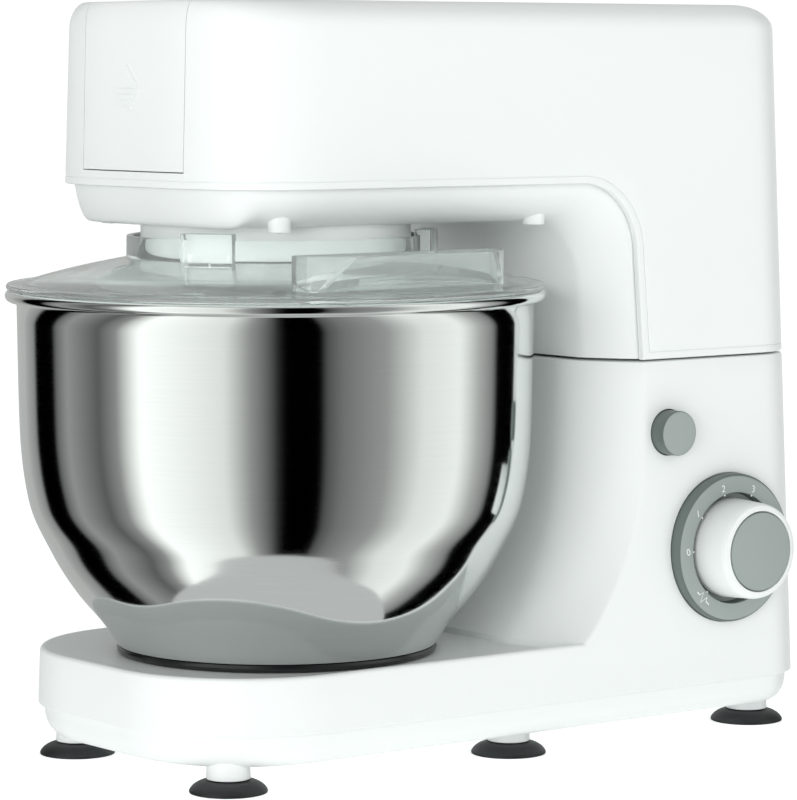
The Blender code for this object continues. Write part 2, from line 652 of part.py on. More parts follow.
def make_chassis():
    plate = prism([(x, y) for x, y, z in head_plan(PLATE_Z, 9.0, 8)], "Z", PLATE_Z, PLATE_Z + PLATE_T)
    overlap(plate, box((-65, 65), (-120, 158), (PLATE_Z - 5, PLATE_Z + 20)))
    for x, y in UNDER_SCREWS:
        join(plate, rod("Z", x, y, 5.5, 241.5, PLATE_Z + 1, 10))
        cut(plate, rod("Z", x, y, 2.4, 230, PLATE_Z - 2, 10))
    cut(plate, rod("Z", 0, BOWL_Y, 13.0, 240, 270, 20))
    join(plate, rod("Z", 0, LAYSHAFT_Y, 8.0, PLATE_Z + 1, PLATE_Z + 5.2, 16))
    cut(plate, rod("Z", 0, LAYSHAFT_Y, 4.0 + GAP, 240, 270, 14))
    cut(plate, rod("Z", 0, MOTOR_Y, 14.0, 240, 270, 20))
    part("drive_chassis", plate, "cast_aluminium")
    bearing = lathe([(SHAFT_R + GAP, PLATE_Z - 0.5), (12.7, PLATE_Z - 0.5), (12.7, PLATE_Z + 5),
                     (SHAFT_R + GAP, PLATE_Z + 5)], "Z", 0, BOWL_Y, 20)
    part("hub_bearing", bearing, "bright_steel")
    ring = rod("Z", 0, BOWL_Y, 52.0, 237.8, PLATE_Z - GAP, 36)
    cut(ring, rod("Z", 0, BOWL_Y, 47.5, 247.5, 260, 36))
    teeth = gear_outline(RING_TEETH, PLANET_MODULE, 0, BOWL_Y, math.pi / 2, 2.2, 1.5, 0.12)
    cut(ring, prism(teeth, "Z", 230, 250))
    part("ring_gear", ring, "nylon", (0, BOWL_Y, 240))


def make_hub():
    origin = (0, BOWL_Y, 226.0)
    spindle_y = BOWL_Y + ECCENTRIC
    carrier = lathe([
        (0.0, 226.6), (54.5, 226.6), (54.5, 216.8), (57.4, 216.4), (58.0, 217.2), (58.0, 234.6), (55.0, 234.6),
        (55.0, 230.0),
        (12.0, 230.0), (12.0, 236.6), (0.0, 236.6)], "Z", 0, BOWL_Y, 36)
    join(carrier, rod("Z", 0, spindle_y, 9.0, 229, 236.6, 16))
    cut(carrier, rod("Z", 0, BOWL_Y, SHAFT_R + GAP, 229, 240, 16))
    cut(carrier, rod("Z", 0, spindle_y, 5.0 + GAP, 220, 240, 14))
    part("planet_carrier", carrier, "white_plastic", origin)
    shaft = rod("Z", 0, BOWL_Y, SHAFT_R, 230.3, 277.5, 16)
    part("drive_shaft", shaft, "bright_steel", origin)
    final = prism(gear_outline(FINAL_TEETH, SPUR_MODULE, 0, BOWL_Y, math.pi / 2, 1.1, 1.6, -0.12), "Z", 263, 269)
    cut(final, rod("Z", 0, BOWL_Y, SHAFT_R + GAP, 260, 272, 16))
    part("final_gear", final, "nylon", origin)
    bevel = bevel_gear("Z", -math.pi / 2)
    cut(bevel, rod("Z", 0, BOWL_Y, SHAFT_R + GAP, 270, 290, 16))
    part("hub_bevel_gear", bevel, "bright_steel", origin)


def bevel_gear(axis, mesh_angle):
    """45 degree bevel gear whose apex is where the hub and outlet axes cross; it opens away from the apex."""
    outline = gear_outline(BEVEL_TEETH, 2 * BEVEL_R / BEVEL_TEETH, 0, 0, mesh_angle, 1.1, 1.5, -0.22)
    rings = []
    for scale in (1.0, 0.72):
        offset = -BEVEL_R * scale
        if axis == "Z":
            ring = [(u * scale, BOWL_Y + v * scale, OUTLET_Z + offset) for u, v in outline]
        else:
            ring = [(u * scale, BOWL_Y + offset, OUTLET_Z + v * scale) for u, v in outline]
        rings.append(ring)
    return loft(rings)


def make_spindle():
    y = BOWL_Y + ECCENTRIC
    origin = (0, y, 226.0)
    spindle = lathe([
        (0.0, 203.0), (4.2, 203.0), (5.0, 204.0), (5.0, 221.5), (8.0, 222.0), (8.0, 225.2), (5.0, 225.7),
        (5.0, 248.0), (7.5, 248.0), (7.5, 250.5), (0.0, 250.5)], "Z", 0, y, 14)
    part("output_spindle", spindle, "bright_steel", origin)
    outline = gear_outline(PLANET_TEETH, PLANET_MODULE, 0, y, math.pi / 2, 1.4, 2.0, -0.12)
    planet = cut(prism(outline, "Z", 238.4, 247.2), rod("Z", 0, y, 5.0 + GAP, 235, 250, 14))
    part("planet_gear", planet, "bright_steel", origin)
    half = smooth([(22.0, 59.0), (41.0, 67.0), (55.0, 82.0), (64.0, 104.0), (65.0, 128.0), (58.0, 150.0),
                   (40.0, 165.0), (20.0, 171.0), (8.0, 178.0)], 2)
    middle_z, scale = 116.0, 0.83

    def outline_at(s):
        right = [(x * s, middle_z + (z - middle_z) * s) for x, z in half]
        return right + [(-x, z) for x, z in reversed(right)]

    # the outline's first coordinate is X, so the prism on Y takes (z, x) pairs
    def slab(points, low, high):
        return prism([(z, x) for x, z in points], "Y", low, high)

    beater = slab(outline_at(1.0), y - 3.2, y + 3.2)
    cut(beater, slab(outline_at(scale), y - 9, y + 9))
    join(beater, box((-4.5, 4.5), (y - 3, y + 3), (62.0, 176.0)))
    join(beater, box((-58.0, 58.0), (y - 2.9, y + 2.9), (112.0, 120.0)))
    join(beater, rod("Z", 0, y, 8.5, 168.0, 217.5, 16))
    cut(beater, rod("Z", 0, y, 5.0 + GAP, 202.5, 225, 14))
    part("flat_beater", beater, "cast_aluminium", origin)


def make_layshaft():
    origin = (0, LAYSHAFT_Y, 260.0)
    part("layshaft", rod("Z", 0, LAYSHAFT_Y, 4.0, PLATE_Z + 0.2, 292, 14), "bright_steel", origin)
    teeth = gear_outline(PINION_TEETH, SPUR_MODULE, 0, LAYSHAFT_Y, -math.pi / 2 + math.pi / PINION_TEETH, 1.1, 1.6,
                         -0.12)
    pinion = cut(prism(teeth, "Z", 262, 270), rod("Z", 0, LAYSHAFT_Y, 4.0 + GAP, 255, 275, 14))
    part("layshaft_pinion", pinion, "bright_steel", origin)
    pulley = lathe([
        (4.0 + GAP, 276.0), (9.0, 276.0), (9.0, 283.4), (43.0, 283.4), (43.0, 280.6), (BIG_PULLEY_R, 280.6),
        (BIG_PULLEY_R, 289.4), (4.0 + GAP, 289.4)], "Z", 0, LAYSHAFT_Y, 36)
    part("large_pulley", pulley, "nylon", origin)


def belt_outline(big, small):
    """Round both pulleys, tangent to both."""
    spread = math.degrees(math.acos((big - small) / (MOTOR_Y - LAYSHAFT_Y)))
    return arc(0, LAYSHAFT_Y, big, 90 + spread, 450 - spread, 24) + arc(0, MOTOR_Y, small, 90 - spread, 90 + spread, 10)


def make_belt():
    inner = prism(belt_outline(BIG_PULLEY_R + GAP, SMALL_PULLEY_R + GAP), "Z", 270, 300)
    outer = prism(belt_outline(BIG_PULLEY_R + 1.8, SMALL_PULLEY_R + 1.8), "Z", 281, 289)
    part("drive_belt", cut(outer, inner), "black_rubber")


def make_motor():
    origin = (0, MOTOR_Y, 216.0)
    stack = prism([(x, MOTOR_Y + y) for x, y in rounded_rectangle(37.0, 31.0, 7.0)], "Z", 196, 236)
    cut(stack, rod("Z", 0, MOTOR_Y, 21.6, 190, 240, 32))
    part("motor_stator", stack, "laminated_steel")
    for name, low, high in (("field_coil_upper", 236 + GAP, 246.0), ("field_coil_lower", 186.0, 196 - GAP)):
        coil = lathe([(22.5, low), (31.0, low), (31.0, high), (22.5, high)], "Z", 0, MOTOR_Y, 28)
        part(name, coil, "copper")
    for name, low, legs in (("motor_bracket_upper", 248.6, (236 + GAP, PLATE_Z - GAP)),
                            ("motor_bracket_lower", 178.2, (179.0, 196 - GAP))):
        bracket = prism([(x, MOTOR_Y + y) for x, y in rounded_rectangle(36.0, 30.0, 6.0)], "Z", low, low + 2.8)
        for x in (-32.0, 32.0):
            for y in (-26.0, 26.0):
                join(bracket, rod("Z", x, MOTOR_Y + y, 3.6, legs[0], legs[1], 8))
        join(bracket, rod("Z", 0, MOTOR_Y, 9.0, low - 0.4, low + 3.6, 16))
        cut(bracket, rod("Z", 0, MOTOR_Y, 4.0 + GAP, 170, 260, 14))
        if name == "motor_bracket_lower":
            for sign in (-1, 1):
                brush = sorted((sign * 10.5, sign * 21.6))
                join(bracket, box(brush, (MOTOR_Y - 3.5, MOTOR_Y + 3.5), (180.0, 189.0)))
        part(name, bracket, "cast_aluminium")
    armature = lathe([
        (0.0, 174.8), (4.0, 174.8), (4.0, 191.0), (16.0, 191.0), (20.8, 197.0), (20.8, 235.0), (16.0, 241.0),
        (4.0, 241.0), (4.0, 292.0), (0.0, 292.0)], "Z", 0, MOTOR_Y, 24)
    part("armature", armature, "laminated_steel", origin)
    commutator = lathe([(4.0 + GAP, 182.4), (10.0, 182.4), (10.0, 190.4), (4.0 + GAP, 190.4)], "Z", 0, MOTOR_Y, 16)
    part("commutator", commutator, "copper", origin)
    fan = rod("Z", 0, MOTOR_Y, 20.0, 241.6, 243.0, 20)
    join(fan, rod("Z", 0, MOTOR_Y, 7.2, 242, 246.8, 12))
    for k in range(8):
        blade = box((6.0, 19.5), (-0.7, 0.7), (242.5, 246.6))
        blade.data.transform(Matrix.Translation((0, MOTOR_Y, 0)) @ Matrix.Rotation(k * math.pi / 4, 4, "Z"))
        join(fan, blade)
    cut(fan, rod("Z", 0, MOTOR_Y, 4.0 + GAP, 235, 250, 14))
    part("motor_fan", fan, "black_plastic", origin)
    pulley = lathe([
        (4.0 + GAP, 279.2), (11.5, 279.2), (11.5, 280.6), (SMALL_PULLEY_R, 280.6), (SMALL_PULLEY_R, 289.4),
        (11.5, 289.4), (11.5, 290.8), (4.0 + GAP, 290.8)], "Z", 0, MOTOR_Y, 20)
    part("motor_pulley", pulley, "bright_steel", origin)


def rounded_rectangle(a, b, r, steps=3):
    corners = ((a - r, b - r, 0), (r - a, b - r, 90), (r - a, r - b, 180), (a - r, r - b, 270))
    return [point for u, v, start in corners for point in arc(u, v, r, start, start + 90, steps)]


def make_front_outlet():
    origin = (0, BOWL_Y, OUTLET_Z)
    gear = bevel_gear("Y", -math.pi / 2 + math.pi / BEVEL_TEETH)
    join(gear, rod("Y", OUTLET_Z, 0, 4.5, -116.0, BOWL_Y - 12.0, 14))
    part("outlet_shaft", gear, "bright_steel", origin)
    coupling = lathe([(0.0, -116.4), (9.0, -116.4), (12.0, -119.0), (12.0, -129.4), (0.0, -129.4)],
                     "Y", OUTLET_Z, 0, 20)
    cut(coupling, prism(circle(8.0, 6, OUTLET_Z, 0), "Y", -135, -119.5))
    part("outlet_coupling", coupling, "bright_steel", origin)
    block = box((-13, 13), (-115.5, -109.5), (PLATE_Z + PLATE_T + GAP, 301))
    cut(block, rod("Y", OUTLET_Z, 0, 4.5 + GAP, -125, -100, 14))
    part("outlet_bearing", block, "cast_aluminium")


def main():
    clear_scene()
    make_materials()
    make_base_housing()
    make_bottom_cover()
    make_feet()
    make_bowl_seat()
    make_bowl()
    make_dial()
    make_electrics()
    make_release()
    make_hinge()
    make_top_cover()
    make_underside()
    make_under_screws()
    make_striker()
    make_lid()
    make_chassis()
    make_hub()
    make_spindle()
    make_layshaft()
    make_belt()
    make_motor()
    make_front_outlet()


main()
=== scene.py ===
"""Looks of the stand mixer: fine casings, bowl, lid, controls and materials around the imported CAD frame.

Shapes are worked out in millimetres in the frame's own axes and turned into metres when a piece is finished.
The origin is on the worktop, +Z is up, the bowl end points to -Y and the controls are on the +X flank.
"""

import json
import math

import bmesh
import bpy
from mathutils import Matrix, Vector


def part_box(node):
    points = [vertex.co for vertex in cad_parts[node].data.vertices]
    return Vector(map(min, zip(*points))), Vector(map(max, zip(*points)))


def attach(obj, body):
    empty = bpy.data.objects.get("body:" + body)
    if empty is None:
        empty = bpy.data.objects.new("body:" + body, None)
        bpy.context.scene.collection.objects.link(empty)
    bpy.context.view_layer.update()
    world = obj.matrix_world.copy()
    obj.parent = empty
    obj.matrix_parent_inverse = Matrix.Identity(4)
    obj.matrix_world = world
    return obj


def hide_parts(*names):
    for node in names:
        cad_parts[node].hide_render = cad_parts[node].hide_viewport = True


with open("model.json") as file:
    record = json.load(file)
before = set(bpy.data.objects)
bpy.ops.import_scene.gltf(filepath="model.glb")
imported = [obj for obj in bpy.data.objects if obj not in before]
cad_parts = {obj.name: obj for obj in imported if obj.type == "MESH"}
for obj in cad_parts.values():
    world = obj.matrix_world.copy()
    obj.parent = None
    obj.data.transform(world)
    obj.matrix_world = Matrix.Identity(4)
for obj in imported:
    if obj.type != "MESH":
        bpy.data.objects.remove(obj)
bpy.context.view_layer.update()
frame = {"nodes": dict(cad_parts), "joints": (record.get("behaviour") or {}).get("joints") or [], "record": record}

MM = 0.001


# ---------------------------------------------------------------- places read from the frame

def limits(node):
    low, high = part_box(node)
    return low / MM, high / MM


def middle(node):
    low, high = limits(node)
    return (low + high) / 2


BASE_LOW, BASE_HIGH = limits("base_housing")
HEAD_LOW, HEAD_HIGH = limits("head_top_cover")
KNOB = middle("dial_bezel")
BUTTON = middle("release_button")
INLET = middle("cable_inlet")
HINGE = Vector(next(j["pos_m"] for j in frame["joints"] if j["name"] == "head_tilt")) / MM
BOWL_Y = middle("bowl").y
SPINDLE_Y = middle("output_spindle").y
OUTLET_Z = middle("outlet_coupling").z
COUPLING_FRONT = limits("outlet_coupling")[0].y

FLANGE_Z = BASE_LOW.z
DECK_Z = BASE_HIGH.z
HALF_W = BASE_HIGH.x
BASE_FRONT = BASE_LOW.y
REAR = BASE_HIGH.y
HEAD_Z = HEAD_LOW.z
TOP_Z = HEAD_HIGH.z

# Form of the casings
DRAFT = 0.0262
RIM_Z = 49.2
FLOOR_Z = 46.5
FRONT_R = 62.0
REAR_R = 27.0
CHIN_Z = 247.6
NOSE_L = 55.4
NOSE_MID = -81.6
NOSE_POWER = 3.5
NOSE_CROWN = 0.2
REAR_CROWN = 1.6
TOP_ROUND = (12.0, 11.0)
WALL = 3.0
BEND_Y = 44.6
BEND_R = 29.5
BEND_Z = CHIN_Z - BEND_R
DROP_Y = 76.9
BAND = 3.1
GROOVE = 0.5
POCKET_Y = -130.5
POCKET_X = 37.6
POCKET_Z = 254.1
UNDER_INSET = 3.5
UNDER_Z = 231.5


# ---------------------------------------------------------------- solids, in millimetres

def working_object(bm):
    bmesh.ops.remove_doubles(bm, verts=bm.verts, dist=1e-4)
    bmesh.ops.recalc_face_normals(bm, faces=bm.faces)
    mesh = bpy.data.meshes.new("work")
    bm.to_mesh(mesh)
    bm.free()
    obj = bpy.data.objects.new("work", mesh)
    bpy.context.scene.collection.objects.link(obj)
    return obj


def evaluated(obj):
    """Applies the object's modifiers to its mesh."""
    bpy.context.view_layer.update()
    mesh = bpy.data.meshes.new_from_object(obj.evaluated_get(bpy.context.evaluated_depsgraph_get()))
    obj.modifiers.clear()
    obj.data = mesh
    return obj


def combine(obj, other, operation):
    modifier = obj.modifiers.new("combine", "BOOLEAN")
    modifier.operation = operation
    modifier.solver = "EXACT"
    modifier.object = other
    evaluated(obj)
    bpy.data.objects.remove(other, do_unlink=True)
    return obj


def cut(obj, *cutters):
    for cutter in cutters:
        combine(obj, cutter, "DIFFERENCE")
    return obj


def join(obj, *others):
    for other in others:
        combine(obj, other, "UNION")
    return obj


def overlap(obj, other):
    return combine(obj, other, "INTERSECT")


def bevelled(obj, width, segments=2, angle=40.0):
    modifier = obj.modifiers.new("edges", "BEVEL")
    modifier.width = width
    modifier.segments = segments
    modifier.limit_method = "ANGLE"
    modifier.angle_limit = math.radians(angle)
    return evaluated(obj)


def loft(rings, caps=True):
    """Surface through closed outlines that have the same number of points."""
    bm = bmesh.new()
    loops = [[bm.verts.new(point) for point in ring] for ring in rings]
    count = len(loops[0])
    for lower, upper in zip(loops, loops[1:]):
        for i in range(count):
            j = (i + 1) % count
            bm.faces.new((lower[i], lower[j], upper[j], upper[i]))
    if caps:
        bm.faces.new(list(reversed(loops[0])))
        bm.faces.new(loops[-1])
    return working_object(bm)


def along(axis, u, v, h):
    """Places plane coordinates u, v and the height h on a right-handed axis."""
    return {"X": (h, u, v), "Y": (v, h, u), "Z": (u, v, h)}[axis]


def prism(outline, axis, low, high):
    return loft([[along(axis, u, v, h) for u, v in outline] for h in (low, high)])


def circle(r, count, u=0.0, v=0.0, start=0.04):
    step = 2 * math.pi / count
    return [(u + r * math.cos(start + i * step), v + r * math.sin(start + i * step)) for i in range(count)]


def rod(axis, u, v, r, low, high, count=48):
    return prism(circle(r, count, u, v), axis, low, high)


def box(x, y, z):
    return prism([(x[0], y[0]), (x[1], y[0]), (x[1], y[1]), (x[0], y[1])], "Z", z[0], z[1])


def lathe(profile, axis, u, v, count=96):
    """Turned solid from a closed (radius, height) profile; a profile may touch the axis."""
    bm = bmesh.new()
    rings = []
    for i in range(count):
        angle = 2 * math.pi * i / count
        ring = [along(axis, u + r * math.cos(angle), v + r * math.sin(angle), h) for r, h in profile]
        rings.append([bm.verts.new(point) for point in ring])
    size = len(profile)
    for i in range(count):
        near, far = rings[i], rings[(i + 1) % count]
        for k in range(size):
            m = (k + 1) % size
            if profile[k][0] > 0.0 or profile[m][0] > 0.0:
                bm.faces.new((near[k], near[m], far[m], far[k]))
    return working_object(bm)


def arc(u, v, r, start, end, steps):
    angles = [math.radians(start + (end - start) * i / steps) for i in range(steps + 1)]
    return [(u + r * math.cos(a), v + r * math.sin(a)) for a in angles]


def turn_corner(a, corner, b, radius, steps):
    """Replaces one corner of an outline by a soft curve that starts and ends radius away from it."""
    corner = Vector(corner)
    out, back = Vector(a) - corner, Vector(b) - corner
    start = corner + out.normalized() * min(radius, 0.45 * out.length)
    end = corner + back.normalized() * min(radius, 0.45 * back.length)
    curve = []
    for i in range(steps + 1):
        t = i / steps
        point = start * (1 - t) ** 2 + corner * 2 * t * (1 - t) + end * t ** 2
        curve.append(tuple(point))
    return curve


def rounded(points, radius, steps=3):
    """Softens every corner of a closed outline, except corners on a turned profile's axis."""
    curve = []
    for a, corner, b in zip([points[-1], *points], points, [*points[1:], points[0]]):
        if corner[0] == 0.0:
            curve.append(corner)
        else:
            curve += turn_corner(a, corner, b, radius, steps)
    return curve


def spline_value(t, p, q, r, s):
    """Catmull-Rom value between q and r, t from 0 to 1."""
    square, cube = 2 * p - 5 * q + 4 * r - s, 3 * q - p - 3 * r + s
    return 0.5 * (2 * q + (r - p) * t + square * t ** 2 + cube * t ** 3)


def smooth(points, steps):
    """Catmull-Rom curve through a few given points."""
    ends = [points[0], *points, points[-1]]
    curve = []
    for a, b, c, d in zip(ends, ends[1:], ends[2:], ends[3:]):
        for i in range(steps):
            t = i / steps
            curve.append(tuple(spline_value(t, *values) for values in zip(a, b, c, d)))
    return curve + [points[-1]]


def smoothstep(t):
    t = max(0.0, min(1.0, t))
    return t * t * (3 - 2 * t)


# ---------------------------------------------------------------- materials

def shader_of(name):
    """A new material with its Principled shader, and a helper that adds nodes."""
    material = bpy.data.materials.new(name)
    material.use_nodes = True
    return material, material.node_tree.nodes["Principled BSDF"], material.node_tree


def add_noise(tree, scale, detail=3.0, stretch=(1.0, 1.0, 1.0)):
    """Noise in object space; scale is in features per metre."""
    place = tree.nodes.new("ShaderNodeTexCoord")
    mapping = tree.nodes.new("ShaderNodeMapping")
    mapping.inputs["Scale"].default_value = stretch
    noise = tree.nodes.new("ShaderNodeTexNoise")
    noise.inputs["Scale"].default_value = scale
    noise.inputs["Detail"].default_value = detail
    tree.links.new(place.outputs["Object"], mapping.inputs["Vector"])
    tree.links.new(mapping.outputs["Vector"], noise.inputs["Vector"])
    return noise.outputs["Fac"]


def spread(tree, value, low, high):
    """Maps a noise value to a range."""
    node = tree.nodes.new("ShaderNodeMapRange")
    node.inputs["From Min"].default_value = 0.1
    node.inputs["From Max"].default_value = 0.9
    node.inputs["To Min"].default_value = low
    node.inputs["To Max"].default_value = high
    tree.links.new(value, node.inputs["Value"])
    return node.outputs["Result"]


def tint(tree, value, dark, light):
    """Mixes two colours by a value."""
    node = tree.nodes.new("ShaderNodeMix")
    node.data_type = "RGBA"
    node.inputs["A"].default_value = (*dark, 1.0)
    node.inputs["B"].default_value = (*light, 1.0)
    tree.links.new(value, node.inputs["Factor"])
    return node.outputs["Result"]


def add_bump(tree, shader, value, strength, distance):
    node = tree.nodes.new("ShaderNodeBump")
    node.inputs["Strength"].default_value = strength
    node.inputs["Distance"].default_value = distance
    tree.links.new(value, node.inputs["Height"])
    previous = shader.inputs["Normal"].links
    if previous:
        tree.links.new(previous[0].from_socket, node.inputs["Normal"])
    tree.links.new(node.outputs["Normal"], shader.inputs["Normal"])


def moulded(name, dark, light, roughness, grain=900.0, grain_depth=0.06):
    """Moulded plastic: faint mottling, gloss that varies a little, fine grain over slow waviness."""
    material, shader, tree = shader_of(name)
    tree.links.new(tint(tree, add_noise(tree, 14.0), dark, light), shader.inputs["Base Color"])
    tree.links.new(spread(tree, add_noise(tree, 40.0, 2.0), *roughness), shader.inputs["Roughness"])
    add_bump(tree, shader, add_noise(tree, 9.0, 1.0), 0.03, 0.0004)
    add_bump(tree, shader, add_noise(tree, grain, 2.0), grain_depth, 0.0002)
    return material


def metal(name, dark, light, roughness, scale, stretch, depth):
    """Metal with directional working marks: stretch sets which way they run."""
    material, shader, tree = shader_of(name)
    marks = add_noise(tree, scale, 4.0, stretch)
    tree.links.new(tint(tree, marks, dark, light), shader.inputs["Base Color"])
    tree.links.new(spread(tree, marks, *roughness), shader.inputs["Roughness"])
    shader.inputs["Metallic"].default_value = 1.0
    add_bump(tree, shader, marks, depth, 0.0001)
    return material


def clear_plastic():
    material, shader, tree = shader_of("clear_plastic")
    shader.inputs["Base Color"].default_value = (0.92, 0.965, 0.95, 1.0)
    shader.inputs["Transmission Weight"].default_value = 0.86
    shader.inputs["IOR"].default_value = 1.49
    tree.links.new(spread(tree, add_noise(tree, 60.0), 0.01, 0.05), shader.inputs["Roughness"])
    add_bump(tree, shader, add_noise(tree, 24.0, 1.0), 0.15, 0.0008)
    return material


def banded(name, colours, roughness, pitch, depth):
    """Stacked or wound metal: fine bands up the object, such as laminations or wire turns."""
    material, shader, tree = shader_of(name)
    place = tree.nodes.new("ShaderNodeTexCoord")
    mapping = tree.nodes.new("ShaderNodeMapping")
    mapping.inputs["Scale"].default_value = (1.0, 1.0, pitch)
    wave = tree.nodes.new("ShaderNodeTexWave")
    wave.bands_direction = "Z"
    wave.inputs["Scale"].default_value = 1.0
    wave.inputs["Distortion"].default_value = 0.6
    tree.links.new(place.outputs["Object"], mapping.inputs["Vector"])
    tree.links.new(mapping.outputs["Vector"], wave.inputs["Vector"])
    tree.links.new(tint(tree, wave.outputs["Fac"], *colours), shader.inputs["Base Color"])
    tree.links.new(spread(tree, add_noise(tree, 300.0), *roughness), shader.inputs["Roughness"])
    shader.inputs["Metallic"].default_value = 1.0
    add_bump(tree, shader, wave.outputs["Fac"], depth, 0.0002)
    return material


def make_materials():
    even = (1.0, 1.0, 1.0)
    return {
        "white_plastic": moulded(
            "white_plastic", (0.815, 0.848, 0.838), (0.83, 0.86, 0.85), (0.34, 0.40), grain_depth=0.03),
        "grey_plastic": moulded(
            "grey_plastic", (0.30, 0.345, 0.33), (0.34, 0.38, 0.365), (0.36, 0.48), 1500.0, 0.12),
        # painted shade: a much darker grey that stands in for the shade on the sideways faces of the dial ring and
        # button
        "painted_shade_grey": moulded(
            "painted_shade_grey", (0.115, 0.145, 0.135), (0.14, 0.17, 0.16), (0.4, 0.5), 1500.0, 0.12),
        "clear_plastic": clear_plastic(),
        "polished_steel": metal(
            "polished_steel", (0.74, 0.77, 0.76), (0.80, 0.82, 0.81), (0.05, 0.11), 30.0,
            (1.0, 1.0, 60.0), 0.02),
        "bright_steel": metal(
            "bright_steel", (0.50, 0.51, 0.52), (0.66, 0.67, 0.68), (0.18, 0.34), 200.0, even, 0.1),
        "black_rubber": moulded(
            "black_rubber", (0.008, 0.009, 0.01), (0.016, 0.018, 0.02), (0.42, 0.6), 1200.0, 0.2),
        "black_plastic": moulded("black_plastic", (0.008, 0.01, 0.01), (0.014, 0.017, 0.017), (0.16, 0.28)),
        "cast_aluminium": metal(
            "cast_aluminium", (0.48, 0.49, 0.50), (0.62, 0.63, 0.64), (0.38, 0.56), 900.0, even, 0.5),
        "laminated_steel": banded(
            "laminated_steel", ((0.16, 0.16, 0.17), (0.36, 0.37, 0.38)), (0.35, 0.55), 320.0, 0.6),
        "copper": banded("copper", ((0.36, 0.14, 0.06), (0.78, 0.38, 0.20)), (0.22, 0.4), 260.0, 0.8),
        "circuit_board": moulded(
            "circuit_board", (0.010, 0.09, 0.04), (0.03, 0.20, 0.09), (0.4, 0.55), 500.0, 0.3),
        "nylon": moulded("nylon", (0.70, 0.68, 0.60), (0.78, 0.76, 0.69), (0.38, 0.5), 700.0, 0.1),
        "print_white": moulded("print_white", (0.80, 0.83, 0.82), (0.86, 0.88, 0.87), (0.45, 0.6)),
    }


MATERIALS = make_materials()


def piece(name, obj, body, slot, *replaced, material=None, sharp=32.0):
    """Finishes a piece: metres, smooth shading, the material of its slot and its body; the CAD nodes that it
    stands for are hidden.
    """
    obj.name = name
    obj.data.name = name
    obj.data.transform(Matrix.Scale(MM, 4))
    obj.data.materials.clear()
    obj.data.materials.append(MATERIALS[material or slot])
    obj.data.shade_smooth()
    obj.data.set_sharp_from_angle(angle=math.radians(sharp))
    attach(obj, body)
    if replaced:
        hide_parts(*replaced)
    return obj


def paint_side_shade(obj, material):
    """Gives the faces of a turned X part that look sideways a second, darker material: painted shade for the sides
    that fall in shade beside the flank.
    """
    obj.data.materials.append(MATERIALS[material])
    for face in obj.data.polygons:
        if abs(face.normal.x) < 0.8:
            face.material_index = 1


def dress_frame_nodes():
    """Every CAD node keeps its shape and takes the detailed material of its slot."""
    slots = {entry["node"]: entry["material_slot"] for entry in frame["record"]["subparts"]}
    for name, node in frame["nodes"].items():
        node.data.materials.clear()
        node.data.materials.append(MATERIALS[slots[name]])


# ---------------------------------------------------------------- outlines of the casings

def half_width(z):
    return HALF_W - DRAFT * (z - FLANGE_Z)


def rear_y(z):
    return REAR - DRAFT * (z - FLANGE_Z)


def base_ring(z, inset=0.0):
    """Platform outline: large round front corners, small rear ones."""
    w = half_width(z) - inset
    front = BASE_FRONT + DRAFT * (z - FLANGE_Z) + inset
    rear, r, small = rear_y(z) - inset, FRONT_R - inset, REAR_R - inset
    outline = arc(r - w, front + r, r, 180, 270, 24) + arc(w - r, front + r, r, 270, 360, 24)
    outline += arc(w - small, rear - small, small, 0, 90, 12)
    outline += arc(small - w, rear - small, small, 90, 180, 12)
    return [(x, y, z) for x, y in outline]


CREASE = 2.4
FACE_FLAT = 0.54
FACE_STEPS = 22


def slope(fraction):
    """How far the column's face has fallen back from the middle (0) to the flank crease (1)."""
    return max(0.0, (fraction - FACE_FLAT) / (1.0 - FACE_FLAT)) ** 1.6


def column_ring(z, inset=0.0, level=None):
    """Column outline: the front face swings back from its flat middle to softly rounded flank creases."""
    w = half_width(z) - inset
    at = z if level is None else level
    s = max(0.0, min(1.0, (HEAD_Z - at) / (HEAD_Z - RIM_Z)))
    face, edge = 58.0 - 32.0 * s ** 3.0 + inset, 77.0 - 35.0 * s ** 3.3 + inset
    last = 1.0 - CREASE / w
    near = [(w * last * i / FACE_STEPS, face + (edge - face) * slope(last * i / FACE_STEPS))
            for i in range(FACE_STEPS + 1)]
    near += turn_corner(near[-1], (w, edge), (w, edge + 3 * CREASE), CREASE, 4)
    rear, small = rear_y(z) - inset, REAR_R - inset
    near += arc(w - small, rear - small, small, 0, 90, 12)
    return [(x, y, z) for x, y in near] + [(-x, y, z) for x, y in reversed(near[1:])]


NOSE_STEPS, FLANK_STEPS, BEND_STEPS, DROP_STEPS, SILL_STEPS, CORNER_STEPS, BACK_STEPS = 44, 8, 18, 6, 8, 12, 4


def steps(count):
    return [i / count for i in range(1, count + 1)]


def lower_flank(d):
    """Side-view points d away from the head's lower edge: chin line, concave bend, drop to the seam, sill."""
    r = BEND_R + d
    corner = (DROP_Y + d, HEAD_Z + d)
    points = [(NOSE_MID + (BEND_Y - NOSE_MID) * t, CHIN_Z + d) for t in steps(FLANK_STEPS)]
    points += [(BEND_Y + r * math.sin(t * math.pi / 2), BEND_Z + r * math.cos(t * math.pi / 2))
               for t in steps(BEND_STEPS)]
    points += [(BEND_Y + r + (corner[0] - BEND_Y - r) * t, BEND_Z + (corner[1] - BEND_Z) * t)
               for t in steps(DROP_STEPS)]
    end = rear_y(corner[1]) - REAR_R
    points += [(corner[0] + (end - corner[0]) * t, corner[1]) for t in steps(SILL_STEPS)]
    return points


def upper_flank(z):
    """The same stations spread along a level line."""
    start, end = NOSE_MID + DRAFT * (z - CHIN_Z), rear_y(z) - REAR_R
    stops = ((start, BEND_Y, FLANK_STEPS), (BEND_Y, 80.0, BEND_STEPS), (80.0, 100.0, DROP_STEPS),
             (100.0, end, SILL_STEPS))
    return [(a + (b - a) * t, z) for a, b, count in stops for t in steps(count)]


